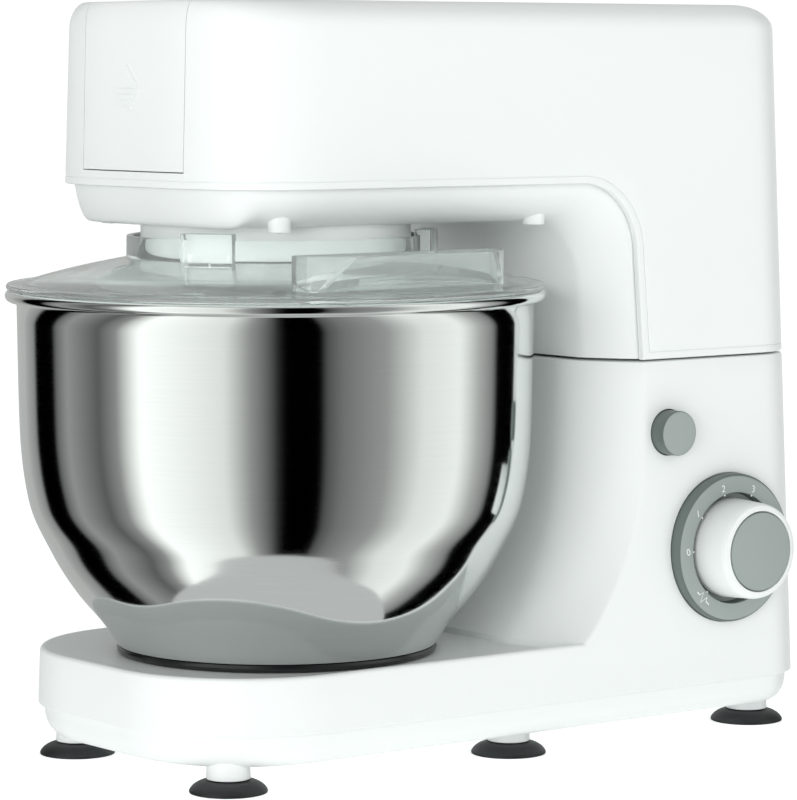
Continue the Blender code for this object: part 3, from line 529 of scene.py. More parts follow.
def nose_half(w, reach, mid):
    """Right half of the blunt nose in plan, a quarter of a superellipse."""
    turns = [math.pi / 2 * i / NOSE_STEPS for i in range(NOSE_STEPS)]
    power = 2 / NOSE_POWER
    return [(w * math.sin(a) ** power, mid - reach * math.cos(a) ** power) for a in turns] + [(w, mid)]


def head_ring(flank, inset=0.0, nose_inset=None, rear_inset=None):
    """Closed outline round the head through a flank line: blunt nose, flanks, rear corners."""
    z_nose, z_back = flank[0][1], flank[-1][1]
    mid = NOSE_MID + DRAFT * (z_nose - CHIN_Z)
    reach = NOSE_L - (inset if nose_inset is None else nose_inset)
    half = [(x, y, z_nose) for x, y in nose_half(half_width(z_nose) - inset, reach, mid)]
    half += [(half_width(z) - inset, y, z) for y, z in flank]
    back = inset if rear_inset is None else rear_inset
    w, rear, r = half_width(z_back) - inset, rear_y(z_back) - back, REAR_R - inset
    for t in steps(CORNER_STEPS):
        a = t * math.pi / 2
        half.append((w - r + r * math.cos(a), rear - r + r * math.sin(a), z_back))
    half += [((w - r) * (1 - t), rear, z_back) for t in steps(BACK_STEPS)]
    return half + [(-x, y, z) for x, y, z in reversed(half[1:-1])]


def between(low, high, t):
    return [(a[0] + (b[0] - a[0]) * t, a[1] + (b[1] - a[1]) * t) for a, b in zip(low, high)]


def crown_rings(shrink=0.0):
    """Rounded top edge of the head, wide along the flanks and tight over the nose."""
    across, up = TOP_ROUND
    rings = []
    for k in range(11):
        a = math.pi / 2 * k / 10
        flank = upper_flank(TOP_Z - up + up * math.sin(a) - shrink * (k / 10))
        round_in = across * (1 - math.cos(a))
        rings.append(head_ring(flank, shrink + round_in, shrink + NOSE_CROWN * round_in,
                               shrink + REAR_CROWN * round_in))
    return rings


def nose_block(inset=0.0):
    """Full head form above the chin, used for the front cover and the pocket behind it."""
    levels = (249.0, 251.0, 260.0, 280.0, 300.0)
    return loft([head_ring(upper_flank(z), inset) for z in levels] + crown_rings(inset))


# ---------------------------------------------------------------- head casing

# Rounded lower lip, flat band and groove, as distance up from the head's lower edge and inset of the wall
EDGE_BAND = (
    (0.0, 0.8), (0.12, 0.35), (0.4, 0.08), (0.8, 0.0), (BAND - 0.3, 0.0), (BAND, 0.06),
    (BAND + 0.06, 0.4), (BAND + GROOVE - 0.06, 0.4), (BAND + GROOVE, 0.06),
)


def make_top_cover():
    high = upper_flank(TOP_Z - TOP_ROUND[1])
    inner_low, inner_high = lower_flank(0.0), upper_flank(TOP_Z - TOP_ROUND[1] - 1)
    rings = [head_ring(upper_flank(TOP_Z - WALL), TOP_ROUND[0], NOSE_CROWN * TOP_ROUND[0] + 1)]
    rings += [head_ring(between(inner_high, inner_low, t), WALL) for t in (0.0, 0.5, 1.0)]
    rings += [head_ring(lower_flank(d), inset) for d, inset in EDGE_BAND]
    wall_start = lower_flank(BAND + GROOVE + 0.3)
    rings += [head_ring(between(wall_start, high, t)) for t in (0.0, 0.2, 0.4, 0.6, 0.8)]
    rings += crown_rings()
    cover = loft(rings)
    pocket = overlap(nose_block(0.6), box((-40.6, 40.6), (-200, POCKET_Y + 2.5), (251.5, TOP_Z + 5)))
    join(cover, pocket)
    cut(cover, box((-POCKET_X, POCKET_X), (-200, POCKET_Y), (POCKET_Z, TOP_Z + 10)))
    cut(cover, rod("Y", OUTLET_Z, 0, 13.0, POCKET_Y - 2, POCKET_Y + 6))
    cut(cover, rod("X", HINGE.y, HINGE.z, 6.2, -62, 62))
    piece("top_cover", cover, "head", "white_plastic", "head_top_cover")


ARROW = ((280.6, 3.0), (283.3, 5.4), (285.7, 7.2), (288.1, 8.6))
ARROW_X = -3.5
ARROW_HALF = 8.6
ARROW_RISE = 0.5
ARROW_TIP = 298.5
ARROW_BASE = 289.8


def make_front_cover():
    seam = 0.5
    cover = overlap(nose_block(), box((seam - POCKET_X, POCKET_X - seam), (-200, POCKET_Y - seam),
                                      (POCKET_Z + seam, TOP_Z + 5)))
    cut(cover, box((-30, 30), (POCKET_Y - 3.8, POCKET_Y + 5), (258, 308)))
    head = [(ARROW_BASE, ARROW_X - ARROW_HALF), (ARROW_BASE, ARROW_X + ARROW_HALF), (ARROW_TIP, ARROW_X)]
    raised = prism(head, "Y", -160, -134)
    for z, half in ARROW:
        join(raised, box((ARROW_X - half, ARROW_X + half), (-160, -134), (z - 0.45, z + 0.45)))
    join(cover, overlap(raised, nose_block(-ARROW_RISE)))
    piece("front_cover_panel", cover, "front_cover", "white_plastic", "front_outlet_cover")


DEPTHS = (0.0, 0.2, 0.5, 0.9, 1.4, 2.0, 2.7, 3.4, 4.1, 4.9, 5.8, 6.8, 7.9, 9.2, 11.0, 13.5, 16.0, 19.0, 22.0)
CUP_TURN = (36.0, 58.0)
CUP_DEPTH = 8.0


def under_height(depth, turn):
    """Height of the lower shell a distance in from its rim: steep at the nose, wide round on the flanks."""
    rise = CHIN_Z + 0.5 - UNDER_Z
    t = max(0.0, 1.0 - depth / 22.0)
    wide = UNDER_Z + rise * (1.0 - math.sqrt(max(0.0, 1.0 - t * t)))
    cup = UNDER_Z + rise * max(0.0, 1.0 - depth / CUP_DEPTH) ** 4
    return cup + (wide - cup) * turn


def under_half(depth, lip=0.0):
    """Right half of one outline of the lower shell: nose, flank, bend and column down to the seam."""
    reach = half_width(CHIN_Z) - UNDER_INSET
    half = []
    for i, (x, y) in enumerate(nose_half(reach - depth, NOSE_L - UNDER_INSET - depth, NOSE_MID)):
        turn = smoothstep((90.0 * i / NOSE_STEPS - CUP_TURN[0]) / (CUP_TURN[1] - CUP_TURN[0]))
        half.append((x, y, under_height(depth, turn) + lip))
    bottom = under_height(depth, 1.0)
    face = 58.0 + 17.2 * slope((reach - depth) / reach)
    centre_y, centre_z, floor = face - BEND_R - 1.5, bottom - BEND_R, HEAD_Z + 0.4
    r = BEND_R + lip
    flank = [(NOSE_MID + (centre_y - NOSE_MID) * t, bottom + lip) for t in steps(FLANK_STEPS)]
    flank += [(centre_y + r * math.sin(t * math.pi / 2), centre_z + r * math.cos(t * math.pi / 2))
              for t in steps(BEND_STEPS)]
    flank += [(centre_y + r + 1.5 * t, centre_z + (floor - centre_z) * t) for t in steps(DROP_STEPS)]
    half += [(half_width(z) - UNDER_INSET - depth, y, z) for y, z in flank]
    return half


def make_under_cover():
    """Lower shell of the head: outlines at growing depth, closed across the middle, then thickened."""
    bm = bmesh.new()
    halves = [under_half(0.0, 3.0)] + [under_half(depth) for depth in DEPTHS]
    sides = []
    for sign in (1, -1):
        rows = [[bm.verts.new((sign * x, y, z)) for x, y, z in half] for half in halves]
        for upper, lower in zip(rows, rows[1:]):
            for i in range(len(upper) - 1):
                bm.faces.new((upper[i], upper[i + 1], lower[i + 1], lower[i]))
        sides.append(rows)
    right, left = sides[0][-1], sides[1][-1]
    for i in range(len(right) - 1):
        bm.faces.new((right[i], right[i + 1], left[i + 1], left[i]))
    front = [row[-1] for row in sides[0]] + [row[-1] for row in reversed(sides[1])]
    w, z = half_width(HEAD_Z) - UNDER_INSET, HEAD_Z + 0.4
    tray = rounded([(w, 100.0), (w, 160.0), (-w, 160.0), (-w, 100.0)], 24.0, 8)[9:27]
    corners = [bm.verts.new((x, y, z)) for x, y in reversed(tray)]
    bm.faces.new(front + corners)
    cover = working_object(bm)
    modifier = cover.modifiers.new("skin", "SOLIDIFY")
    modifier.thickness = 2.2
    modifier.offset = -1.0
    evaluated(cover)
    cut(cover, rod("Z", 0, BOWL_Y, 59.4, 215, 244, 96))
    for number in range(1, 5):
        screw = middle("underside_screw_%d" % number)
        boss = rounded([(0.0, 230.0), (4.7, 230.0), (5.2, 240.0), (0.0, 240.0)], 0.6)
        join(cover, lathe(boss, "Z", screw.x, screw.y, 32))
        cut(cover, rod("Z", screw.x, screw.y, 3.7, 225, 231.7, 32))
        cut(cover, rod("Z", screw.x, screw.y, 2.4, 225, 255, 24))
    striker = middle("latch_striker")
    cut(cover, box((striker.x - 4.5, striker.x + 4.5), (striker.y - 12, striker.y + 12), (165, 180)))
    piece("lower_shell", cover, "head", "white_plastic", "head_underside_cover")


def make_screws():
    for number in range(1, 5):
        node = "underside_screw_%d" % number
        low, high = limits(node)
        spot = middle(node)
        head = rounded([
            (0.0, low.z), (3.4, low.z + 0.5), (3.4, low.z + 1.8), (2.0, low.z + 1.8), (2.0, high.z - 1),
            (0.0, high.z)], 0.3, 2)
        screw = lathe(head, "Z", spot.x, spot.y, 32)
        for half in ((2.2, 0.45), (0.45, 2.2)):
            cut(screw, box((spot.x - half[0], spot.x + half[0]), (spot.y - half[1], spot.y + half[1]),
                           (low.z - 1, low.z + 1.1)))
        piece("screw_%d" % number, screw, "head", "bright_steel", node)


# ---------------------------------------------------------------- base

def make_base_housing():
    body = loft([base_ring(FLANGE_Z, 0.5), base_ring(FLANGE_Z + 0.5)] +
                [base_ring(z) for z in (37.0, RIM_Z - 1.8)] +
                [base_ring(RIM_Z - 1.8 + 1.8 * math.sin(a), 1.8 * (1 - math.cos(a)))
                 for a in (0.4, 0.8, 1.2, math.pi / 2)] +
                [base_ring(RIM_Z - 0.15, 2.8), base_ring(FLOOR_Z + 0.3, 13.5), base_ring(FLOOR_Z, 15.5)])
    levels = [RIM_Z + (DECK_Z - 1.2 - RIM_Z) * (k / 22) ** 1.5 for k in range(23)]
    rings = [column_ring(36.0, 1.5, RIM_Z), column_ring(38.0, -0.03, RIM_Z)]
    rings += [column_ring(RIM_Z - 2.0, -0.03, RIM_Z)]
    rings += [column_ring(z, -0.03) for z in levels]
    rings += [column_ring(DECK_Z - 0.35, 0.3), column_ring(DECK_Z, 1.2)]
    join(body, loft(rings))
    cavity = loft([base_ring(FLANGE_Z - 5, WALL), base_ring(FLOOR_Z - WALL, WALL)])
    join(cavity, loft([column_ring(FLOOR_Z - WALL - 2, WALL, RIM_Z)] +
                      [column_ring(z, WALL) for z in (52, 60, 75, 100, DECK_Z - WALL)]))
    cut(body, cavity)
    cut(body, rod("Z", 0, BOWL_Y, 57.0, FLOOR_Z - 6, FLOOR_Z + 6, 96))
    recess_x = limits("dial_bezel")[0].x - 0.3
    cut(body, rod("X", KNOB.y, KNOB.z, 33.4, recess_x, 95, 96))
    cut(body, rod("X", KNOB.y, KNOB.z, 6.0, 60, 95))
    cut(body, rod("X", BUTTON.y, BUTTON.z, 10.3, 60, 95, 64))
    striker = middle("latch_striker")
    cut(body, box((striker.x - 6, striker.x + 4), (72, 104), (DECK_Z - 5, DECK_Z + 3)))
    cut(body, rod("X", HINGE.y, HINGE.z, 8.0, -70, 70))
    cut(body, box((-62, 62), (159, 169), (DECK_Z - 5, DECK_Z + 2)))
    cut(body, rod("Y", INLET.z, INLET.x, 7.2, REAR - 12, REAR + 4))
    piece("base_shell", body, "base", "white_plastic", "base_housing")


BOTTOM_Z = 11.0


def make_bottom_cover():
    """Pan under the base with a widely rounded lower edge and six round foot bosses."""
    rings = [base_ring(FLANGE_Z - 0.25, 2.6)]
    for k in range(12):
        a = math.pi / 2 * k / 11
        rings.append(base_ring(BOTTOM_Z + 11.5 * (1 - math.sin(a)), 2.9 + 10.0 * (1 - math.cos(a))))
    cover = loft(list(reversed(rings)))
    cut(cover, loft([base_ring(13.5, 15.0), base_ring(FLANGE_Z + 2, 5.6)]))
    for number in range(1, 7):
        foot = middle("suction_foot_%d" % number)
        boss = rounded([(0.0, 5.7), (9.3, 5.7), (8.8, 15.5), (0.0, 15.5)], 0.5)
        join(cover, lathe(boss, "Z", foot.x, foot.y, 48))
        cut(cover, rod("Z", foot.x, foot.y, 5.0, 3.0, 10.0, 32))
    piece("bottom_pan", cover, "base", "white_plastic", "base_bottom_cover")


def make_feet():
    """Suction feet: a short neck in the boss, a domed skirt and a thin lip on the worktop."""
    skirt = smooth([(9.6, 5.2), (12.2, 4.5), (14.6, 3.1), (16.0, 1.5), (16.3, 0.7)], 4)
    profile = [(0.0, 9.4), (4.5, 9.4), (4.5, 5.3), (8.6, 5.4)] + skirt
    profile += [(16.2, 0.15), (15.8, 0.0), (14.5, 0.0), (11.0, 1.5), (5.0, 2.6), (0.0, 2.8)]
    for number in range(1, 7):
        node = "suction_foot_%d" % number
        spot = middle(node)
        piece("foot_%d" % number, lathe(profile, "Z", spot.x, spot.y, 64), "base", "black_rubber", node)


LUG_ANGLES = (0.0, 120.0, 240.0)


def sector(r_in, r_out, start, end, count=10):
    return arc(0, BOWL_Y, r_out, start, end, count) + arc(0, BOWL_Y, r_in, end, start, count)


def make_bowl_seat():
    low = limits("bowl_seat")[0].z
    profile = rounded([
        (0.0, low), (56.4, low), (56.4, 39.8), (64.0, 39.8), (64.0, 43.0), (56.4, 43.0), (56.4, FLOOR_Z),
        (53.0, FLOOR_Z), (53.0, 33.5), (0.0, 33.5)], 0.4, 2)
    seat = lathe(profile, "Z", 0, BOWL_Y)
    for start in LUG_ANGLES:
        join(seat, prism(sector(48.0, 54.0, start, start + 30.0), "Z", 41.2, 44.2))
    piece("seat_ring", seat, "base", "black_plastic", "bowl_seat")


# ---------------------------------------------------------------- bowl

BOWL_T = 1.2
ROLL = (113.6, 200.4, 2.4)


def make_bowl():
    side = smooth([(69.0, 50.3), (75.5, 60.0), (85.2, 71.5), (93.0, 83.0), (99.2, 94.5), (104.2, 105.0),
                   (107.0, 115.0), (109.2, 130.0), (110.3, 150.0), (111.0, 197.3)], 5)
    outer = [(0.0, 53.0), (30.0, 52.6), (52.0, 51.4), (66.0, 50.2)] + side
    inner = [(0.0, 53.0 + BOWL_T), (30.0, 52.6 + BOWL_T), (52.0, 51.4 + BOWL_T), (66.5, 51.0 + BOWL_T)]
    for a, b, c in zip(side, side[1:], side[2:]):
        run = Vector((c[0] - a[0], c[1] - a[1])).normalized()
        inner.append((b[0] - run.y * BOWL_T, b[1] + run.x * BOWL_T))
    inner.append((111.0 - BOWL_T, ROLL[1]))
    profile = outer + arc(*ROLL, 235, 450, 12) + list(reversed(inner))
    piece("steel_bowl", lathe(profile, "Z", 0, BOWL_Y, 144), "bowl", "polished_steel", "bowl", sharp=50)


def make_bowl_ring():
    profile = rounded([(43.5, 36.0), (46.8, 36.0), (46.8, 46.8), (68.6, 46.8), (69.3, 48.2), (68.8, 49.9),
                       (43.5, 49.9)], 0.5)
    ring = lathe(profile, "Z", 0, BOWL_Y, 128)
    for start in LUG_ANGLES:
        join(ring, prism(sector(46.0, 52.3, start, start + 30.0), "Z", 36.8, 40.4))
    piece("bowl_foot_ring", ring, "bowl", "black_plastic", "bowl_base_ring")


# ---------------------------------------------------------------- lid

LID_TABS = (-61.0, 45.0, 151.0)
CHUTE_Y = -60.0
CHUTE_HALF = 49.5
CHUTE_X = (78.5, 89.5, 90.0)
CHUTE_Z = (205.2, 221.5)
CHUTE_LEAN = 11.0
CHUTE_CORNER = 12.0


def chute_ring(z, inset=0.0, soft=1.5):
    """Chute outline: the outer wall leans out and its two corners are cut back towards the top."""
    rise = max(0.0, (z - CHUTE_Z[0]) / (CHUTE_Z[1] - CHUTE_Z[0]))
    half = CHUTE_HALF + 2.0 - inset
    near, flat = CHUTE_X[0] + inset, CHUTE_X[1] - 0.5 * inset
    far, turn = CHUTE_X[2] + 2.0 + CHUTE_LEAN * rise - inset, half - 2.0 - CHUTE_CORNER * rise
    right = [(near, half), (flat, half), (far, turn)]
    outline = [(x, CHUTE_Y - y) for x, y in right] + [(x, CHUTE_Y + y) for x, y in reversed(right)]
    return [(x, y, z) for x, y in rounded(outline, soft, 3)]


def make_lid():
    """Clear lid: drip skirt, flat rim, shallow dome, collar with three tabs, and the feed chute."""
    dome = smooth([(109.4, 205.7), (100.0, 208.6), (84.0, 212.6), (64.4, 216.6)], 4)
    under = smooth([(61.8, 214.8), (84.0, 210.4), (100.0, 206.4), (106.8, 203.8)], 4)
    skirt = rounded([(106.8, 199.0), (108.6, 199.0), (108.6, 203.0), (115.0, 203.0), (115.6, 204.2),
                     (115.0, 205.6)], 0.5)[4:]
    profile = [(106.8, 199.4), (107.2, 199.0), (108.2, 199.0), (108.6, 199.4)] + skirt + dome
    profile += [(64.1, 217.2), (64.0, 225.6), (63.6, 226.1), (62.2, 226.1), (61.8, 225.6)] + under
    lid = lathe(profile, "Z", 0, BOWL_Y, 144)
    for angle in LID_TABS:
        tab = rounded(sector(61.8, 69.5, angle - 10, angle + 10, 6), 0.8, 2)
        join(lid, bevelled(prism(tab, "Z", 212.4, 228.9), 0.5))
    low, high = CHUTE_Z
    passage = loft([chute_ring(low - 8, 2.0, 1.0), chute_ring(low, 2.0, 1.0), chute_ring(high + 3, 2.0, 1.0)])
    join(lid, bevelled(loft([chute_ring(low), chute_ring(high)]), 0.4, 2, 50.0))
    cut(lid, passage)
    piece("clear_lid", lid, "head", "clear_plastic", "bowl_lid", sharp=38).visible_shadow = False


# ---------------------------------------------------------------- planetary hub, spindle and beater

def make_hub():
    profile = rounded([
        (0.0, 227.4), (20.0, 227.4), (21.0, 226.6), (54.6, 226.6), (54.6, 216.4), (58.0, 216.4),
        (58.0, 234.6), (55.0, 234.6), (55.0, 230.0), (12.0, 230.0), (12.0, 236.6), (0.0, 236.6)], 0.6)
    hub = lathe(profile, "Z", 0, BOWL_Y, 144)
    boss = rounded([
        (0.0, 224.9), (9.4, 224.9), (11.4, 227.0), (11.4, 232.0), (9.0, 236.6), (0.0, 236.6)], 0.5)
    join(hub, lathe(boss, "Z", 0, SPINDLE_Y, 64))
    cut(hub, rod("Z", 0, BOWL_Y, 6.3, 229, 240, 48))
    cut(hub, rod("Z", 0, SPINDLE_Y, 5.3, 220, 240, 48))
    cut(hub, lathe([(40.0, 224.0), (41.0, 224.0), (41.0, 226.6), (40.0, 226.6)], "Z", 0, BOWL_Y, 96))
    piece("hub_disc", hub, "hub", "white_plastic", "planet_carrier")


def beater_outline(scale):
    """Flat beater's rounded heart shape, as (z, x) for a prism on Y."""
    half = smooth([(22.0, 59.0), (41.0, 67.0), (55.0, 82.0), (64.0, 104.0), (65.0, 128.0), (58.0, 150.0),
                   (40.0, 165.0), (20.0, 171.0), (8.0, 178.0)], 6)
    centre = 116.0
    right = [(x * scale, centre + (z - centre) * scale) for x, z in half]
    return [(z, x) for x, z in right] + [(z, -x) for x, z in reversed(right)]


def make_beater():
    y = SPINDLE_Y
    beater = prism(beater_outline(1.0), "Y", y - 3.1, y + 3.1)
    cut(beater, prism(beater_outline(0.83), "Y", y - 9, y + 9))
    join(beater, box((-4.3, 4.3), (y - 2.9, y + 2.9), (62.0, 176.0)))
    join(beater, box((-58.0, 58.0), (y - 2.7, y + 2.7), (112.0, 120.0)))
    bevelled(beater, 1.3, 3, 50.0)
    socket = rounded([(0.0, 168.0), (6.0, 168.0), (8.5, 172.0), (8.5, 217.5), (0.0, 217.5)], 0.8)
    join(beater, lathe(socket, "Z", 0, y, 64))
    cut(beater, rod("Z", 0, y, 5.3, 202.5, 225, 48))
    for z in (186.0, 190.0, 194.0):
        cut(beater, lathe([(8.1, z - 0.6), (9.5, z - 0.9), (9.5, z + 0.9), (8.1, z + 0.6)], "Z", 0, y, 64))
    piece("beater", beater, "spindle", "cast_aluminium", "flat_beater")


def make_spindle():
    profile = rounded([
        (0.0, 203.0), (4.2, 203.0), (5.0, 204.0), (5.0, 218.5), (8.0, 219.2), (8.0, 223.4), (5.0, 224.2),
        (5.0, 248.0), (7.5, 248.0), (7.5, 250.5), (0.0, 250.5)], 0.4)
    spindle = lathe(profile, "Z", 0, SPINDLE_Y, 64)
    piece("spindle_shaft", spindle, "spindle", "bright_steel", "output_spindle")


# ---------------------------------------------------------------- controls

def make_dial():
    low, high = limits("dial_bezel")
    bezel = lathe(rounded([
        (6.4, low.x), (33.0, low.x), (33.0, high.x - 1.2), (31.6, high.x), (24.6, high.x),
        (24.6, low.x + 1.5), (6.4, low.x + 1.5)], 0.6), "X", KNOB.y, KNOB.z, 128)
    # painted shade: the ring's sideways faces take a darker grey
    paint_side_shade(piece("dial_ring", bezel, "base", "grey_plastic", "dial_bezel"), "painted_shade_grey")
    x = limits("speed_knob")[1].x
    knob = lathe(rounded([
        (0.0, x - 37.6), (3.0, x - 37.6), (3.0, x - 7.6), (19.6, x - 7.6), (19.6, x - 21.0), (22.2, x - 21.0),
        (21.2, x - 3.0), (20.5, x - 0.6), (17.9, x), (17.7, x - 2.4), (0.0, x - 2.4)], 0.5, 3),
        "X", KNOB.y, KNOB.z, 128)
    piece("knob_body", knob, "knob", "white_plastic", "speed_knob")
    cap = rounded([(0.0, x - 2.2), (17.4, x - 2.2), (17.2, x + 0.2), (0.0, x + 0.5)], 0.3)
    piece("knob_disc", lathe(cap, "X", KNOB.y, KNOB.z, 96), "knob", "grey_plastic", "knob_cap")


DIGIT_R = 27.6
DOT_R = 24.2
DIGIT_H = 3.3
MARKS = {"0": 180.0, "1": 143.0, "2": 105.0, "3": 67.0, "4": 29.0, "5": -8.0, "6": -45.0}
PULSE_ANGLE = 228.0


def on_dial(radius, angle):
    """Point on the dial face; angles run from +Y towards +Z."""
    a = math.radians(angle)
    return KNOB.y + radius * math.cos(a), KNOB.z + radius * math.sin(a)


def printed(obj, name):
    piece(name, obj, "base", "white_plastic", material="print_white")


def make_digit(text, angle, face):
    """One digit of the scale as a thin printed solid, leaning a little outwards."""
    curve = bpy.data.curves.new("digit", "FONT")
    curve.body = text
    curve.align_x = "CENTER"
    curve.align_y = "CENTER"
    curve.size = DIGIT_H * 1.35
    curve.extrude = 0.06
    font = bpy.data.objects.new("digit", curve)
    bpy.context.scene.collection.objects.link(font)
    mesh = bpy.data.meshes.new_from_object(font)
    bpy.data.objects.remove(font, do_unlink=True)
    digit = bpy.data.objects.new("digit", mesh)
    bpy.context.scene.collection.objects.link(digit)
    y, z = on_dial(DIGIT_R, angle)
    lean = math.radians((angle - 90.0) * 0.2)
    facing = Matrix(((0, 0, 1, 0), (1, 0, 0, 0), (0, 1, 0, 0), (0, 0, 0, 1)))
    digit.data.transform(Matrix.Translation((face, y, z)) @ facing @ Matrix.Rotation(lean, 4, "Z"))
    printed(digit, "digit_" + text)


def make_marks():
    """Numbers and dots of the speed scale, and a plain pulse wave in place of a word."""
    face = limits("dial_bezel")[1].x + 0.02
    for text, angle in MARKS.items():
        make_digit(text, angle, face)
    dots = None
    for angle in [*MARKS.values(), PULSE_ANGLE]:
        dot = rod("X", *on_dial(DOT_R + 0.4, angle), 0.42, face - 0.06, face + 0.06, 16)
        dots = dot if dots is None else join(dots, dot)
    printed(dots, "scale_dots")
    wave = [(-4.6, 0.0), (-2.6, 0.0), (-1.6, 2.0), (0.0, -2.2), (1.5, 1.6), (2.4, 0.0), (4.6, 0.0)]
    width = 0.24
    strip = [(u, v + width) for u, v in wave] + [(u, v - width) for u, v in reversed(wave)]
    y, z = on_dial(DIGIT_R + 0.6, PULSE_ANGLE)
    a = math.radians(PULSE_ANGLE + 90.0)
    outline = [(y + u * math.cos(a) - v * math.sin(a), z + u * math.sin(a) + v * math.cos(a))
               for u, v in strip]
    printed(prism(outline, "X", face - 0.06, face + 0.06), "pulse_wave")


def make_button():
    x = limits("release_button")[1].x
    profile = rounded([
        (0.0, 70.0), (5.6, 70.0), (5.6, 75.0), (12.0, 75.0), (12.0, 77.5), (9.8, 77.5), (9.8, x - 0.5),
        (8.8, x), (0.0, x)], 0.5, 4)
    button = lathe(profile, "X", BUTTON.y, BUTTON.z, 96)
    # painted shade: the button's sideways faces take a darker grey
    paint_side_shade(piece("button_cap", button, "button", "grey_plastic", "release_button"), "painted_shade_grey")


# ---------------------------------------------------------------- rear hinge, inlet and front outlet

PIN_R = 2.5
BARREL_R = 5.0
KNUCKLES = (30.0, 44.0, 45.0, 60.0)


def make_hinge():
    """Plates and barrels at the rear seam, with the pin through all four barrels."""
    plate_y = (HINGE.y - 4.6, HINGE.y - 1.4)
    bracket = box((-KNUCKLES[1], KNUCKLES[1]), plate_y, (128, 142))
    arms = box((-KNUCKLES[3], KNUCKLES[3]), plate_y, (208, 222))
    for sign in (-1, 1):
        inner = sorted((sign * KNUCKLES[0], sign * KNUCKLES[1]))
        outer = sorted((sign * KNUCKLES[2], sign * KNUCKLES[3]))
        join(bracket, rod("X", HINGE.y, HINGE.z, BARREL_R, *inner), box(inner, plate_y, (130, HINGE.z - 1)))
        join(arms, rod("X", HINGE.y, HINGE.z, BARREL_R, *outer), box(outer, plate_y, (HINGE.z + 1, 220)))
    for obj, body, name, node in ((bracket, "base", "hinge_base_plate", "hinge_bracket"),
                                  (arms, "head", "hinge_head_plate", "hinge_arms")):
        cut(obj, rod("X", HINGE.y, HINGE.z, PIN_R + 0.3, -70, 70))
        piece(name, obj, body, "bright_steel", node)
    end = KNUCKLES[3] + 1
    profile = rounded([(0.0, -end), (PIN_R, -end), (PIN_R, end), (0.0, end)], 0.5)
    pin = lathe(profile, "X", HINGE.y, HINGE.z, 48)
    piece("pivot_pin", pin, "base", "bright_steel", "hinge_pin")


def make_inlet():
    low, high = limits("cable_inlet")
    profile = rounded([
        (3.8, low.y), (10.0, low.y), (10.0, 173.8), (6.8, 173.8), (6.8, high.y), (5.4, high.y),
        (3.8, high.y - 2)], 0.4)
    piece("inlet_grommet", lathe(profile, "Y", INLET.z, INLET.x, 64), "base", "black_plastic", "cable_inlet")


def make_coupling():
    y = COUPLING_FRONT
    profile = rounded([(0.0, y), (12.0, y), (12.0, y + 10.4), (9.0, y + 13.0), (0.0, y + 13.0)], 0.6)
    coupling = lathe(profile, "Y", OUTLET_Z, 0, 96)
    cut(coupling, prism(circle(8.0, 6, OUTLET_Z, 0, 0.0), "Y", y - 5, y + 9.9))
    piece("drive_socket", coupling, "outlet", "bright_steel", "outlet_coupling")


# ---------------------------------------------------------------- stage, light and camera

FOCUS = Vector((0.0, BOWL_Y, 130.0)) * MM
FLOOR_GLOW = 0.50
AMBIENT = 0.59
BACKDROP = 1.05
CAMERA_AT = Vector((1.34578, -1.03407, 0.29929))
CAMERA_FORWARD = Vector((-0.78868, 0.60864, -0.08684))
CAMERA_LENS = 174.03
SURROUND_R = 1.6
SURROUND = (
    # azimuth from +X towards +Y in degrees, brightness of the reflected studio wall there
    (-180.0, 0.46), (-168.0, 0.30), (-165.0, 0.0), (-149.0, 0.0), (-146.0, 0.16), (-138.0, 0.34),
    (-118.0, 0.12), (-108.0, 0.30), (-96.0, 1.30), (-72.0, 1.05), (-58.0, 0.90), (-47.0, 0.34),
    (-35.0, 0.02), (-32.0, 0.0), (-17.0, 0.0), (-14.0, 0.10), (-7.0, 0.20), (12.0, 0.36), (30.0, 0.90),
    (50.0, 1.05), (62.0, 0.50), (72.0, 0.25), (76.0, 0.0), (95.0, 0.0), (98.0, 0.60), (112.0, 0.85),
    (150.0, 0.50),
)


def make_surround():
    """Round studio wall with light and dark fields that only mirror reflections see."""
    material, shader, tree = shader_of("studio_wall")
    place = tree.nodes.new("ShaderNodeTexCoord")
    around = tree.nodes.new("ShaderNodeTexGradient")
    around.gradient_type = "RADIAL"
    ramp = tree.nodes.new("ShaderNodeValToRGB")
    stops = ramp.color_ramp.elements
    stops.remove(stops[0])
    for azimuth, brightness in SURROUND:
        stop = stops.new((azimuth + 180.0) / 360.0)
        stop.color = (brightness, 1.02 * brightness, brightness, 1.0)
    stops.remove(stops[-1])
    tree.links.new(place.outputs["Object"], around.inputs["Vector"])
    tree.links.new(around.outputs["Color"], ramp.inputs["Fac"])
    tree.links.new(ramp.outputs["Color"], shader.inputs["Emission Color"])
    shader.inputs["Emission Strength"].default_value = 1.0
    shader.inputs["Base Color"].default_value = (0.0, 0.0, 0.0, 1.0)
    shader.inputs["Specular IOR Level"].default_value = 0.0
    wall = loft([[(x, y, z) for x, y in circle(SURROUND_R, 96)] for z in (-2.5, 2.4)], caps=False)
    wall.name = "studio_wall"
    wall.location = FOCUS
    wall.data.materials.append(material)
    wall.visible_camera = False
    wall.visible_diffuse = False
    wall.visible_transmission = False
    wall.visible_shadow = False


def make_floor():
    material, shader, tree = shader_of("pale_floor")
    tree.links.new(
        tint(tree, add_noise(tree, 3.0), (0.93, 0.93, 0.93), (0.95, 0.95, 0.95)), shader.inputs["Base Color"])
    shader.inputs["Roughness"].default_value = 0.9
    shader.inputs["Specular IOR Level"].default_value = 0.1
    shader.inputs["Emission Color"].default_value = (0.985, 1.0, 0.995, 1.0)
    shader.inputs["Emission Strength"].default_value = FLOOR_GLOW
    disc = rod("Z", 0.0, 0.0, 6000.0, -10.0, 0.0, 96)
    disc.name = "floor"
    disc.data.transform(Matrix.Scale(MM, 4))
    disc.data.materials.append(material)
    disc.visible_glossy = False


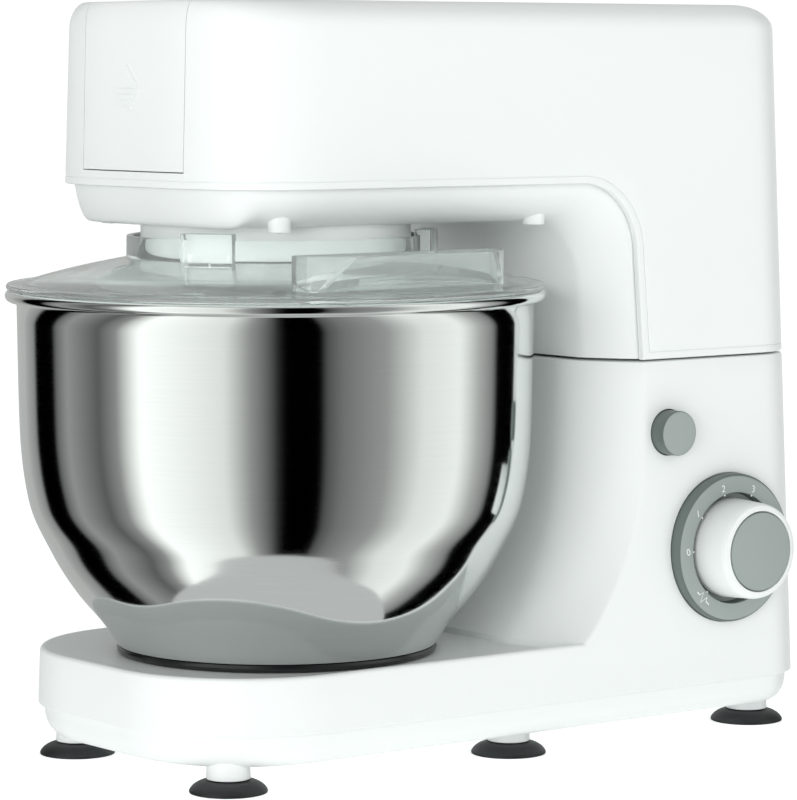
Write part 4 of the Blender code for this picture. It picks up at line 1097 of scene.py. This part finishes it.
def area_light(name, at, size, power):
    light = bpy.data.lights.new(name, "AREA")
    light.shape = "DISK"
    light.size = size
    light.energy = power
    lamp = bpy.data.objects.new(name, light)
    lamp.location = at
    lamp.rotation_euler = (FOCUS - Vector(at)).to_track_quat("-Z", "Y").to_euler()
    bpy.context.scene.collection.objects.link(lamp)
    lamp.visible_glossy = False


def make_studio():
    """White backdrop for the camera and through the lid, dimmer ambient light, and two soft boxes."""
    scene = bpy.context.scene
    world = bpy.data.worlds.new("studio")
    world.use_nodes = True
    tree = world.node_tree
    background = tree.nodes["Background"]
    background.inputs["Color"].default_value = (0.985, 1.0, 0.995, 1.0)
    path = tree.nodes.new("ShaderNodeLightPath")
    seen = tree.nodes.new("ShaderNodeMath")
    seen.operation = "MAXIMUM"
    tree.links.new(path.outputs["Is Camera Ray"], seen.inputs[0])
    tree.links.new(path.outputs["Is Transmission Ray"], seen.inputs[1])
    level = tree.nodes.new("ShaderNodeMapRange")
    level.inputs["To Min"].default_value = AMBIENT
    level.inputs["To Max"].default_value = BACKDROP
    tree.links.new(seen.outputs["Value"], level.inputs["Value"])
    tree.links.new(level.outputs["Result"], background.inputs["Strength"])
    scene.world = world
    scene.view_settings.view_transform = "Standard"
    area_light("key_light", (2.2, -0.4, 1.3), 1.5, 7.0)
    area_light("fill_light", (1.2, -2.0, 0.25), 1.2, 22.0)


def make_camera():
    data = bpy.data.cameras.new("camera")
    data.lens = CAMERA_LENS
    data.sensor_width = 36.0
    camera = bpy.data.objects.new("camera", data)
    camera.location = CAMERA_AT
    camera.rotation_euler = CAMERA_FORWARD.to_track_quat("-Z", "Y").to_euler()
    bpy.context.scene.collection.objects.link(camera)
    bpy.context.scene.camera = camera


def main():
    dress_frame_nodes()
    make_top_cover()
    make_front_cover()
    make_under_cover()
    make_screws()
    make_base_housing()
    make_bottom_cover()
    make_feet()
    make_bowl_seat()
    make_bowl()
    make_bowl_ring()
    make_lid()
    make_hub()
    make_beater()
    make_spindle()
    make_dial()
    make_marks()
    make_button()
    make_hinge()
    make_inlet()
    make_coupling()
    make_surround()
    make_floor()
    make_studio()
    make_camera()


main()
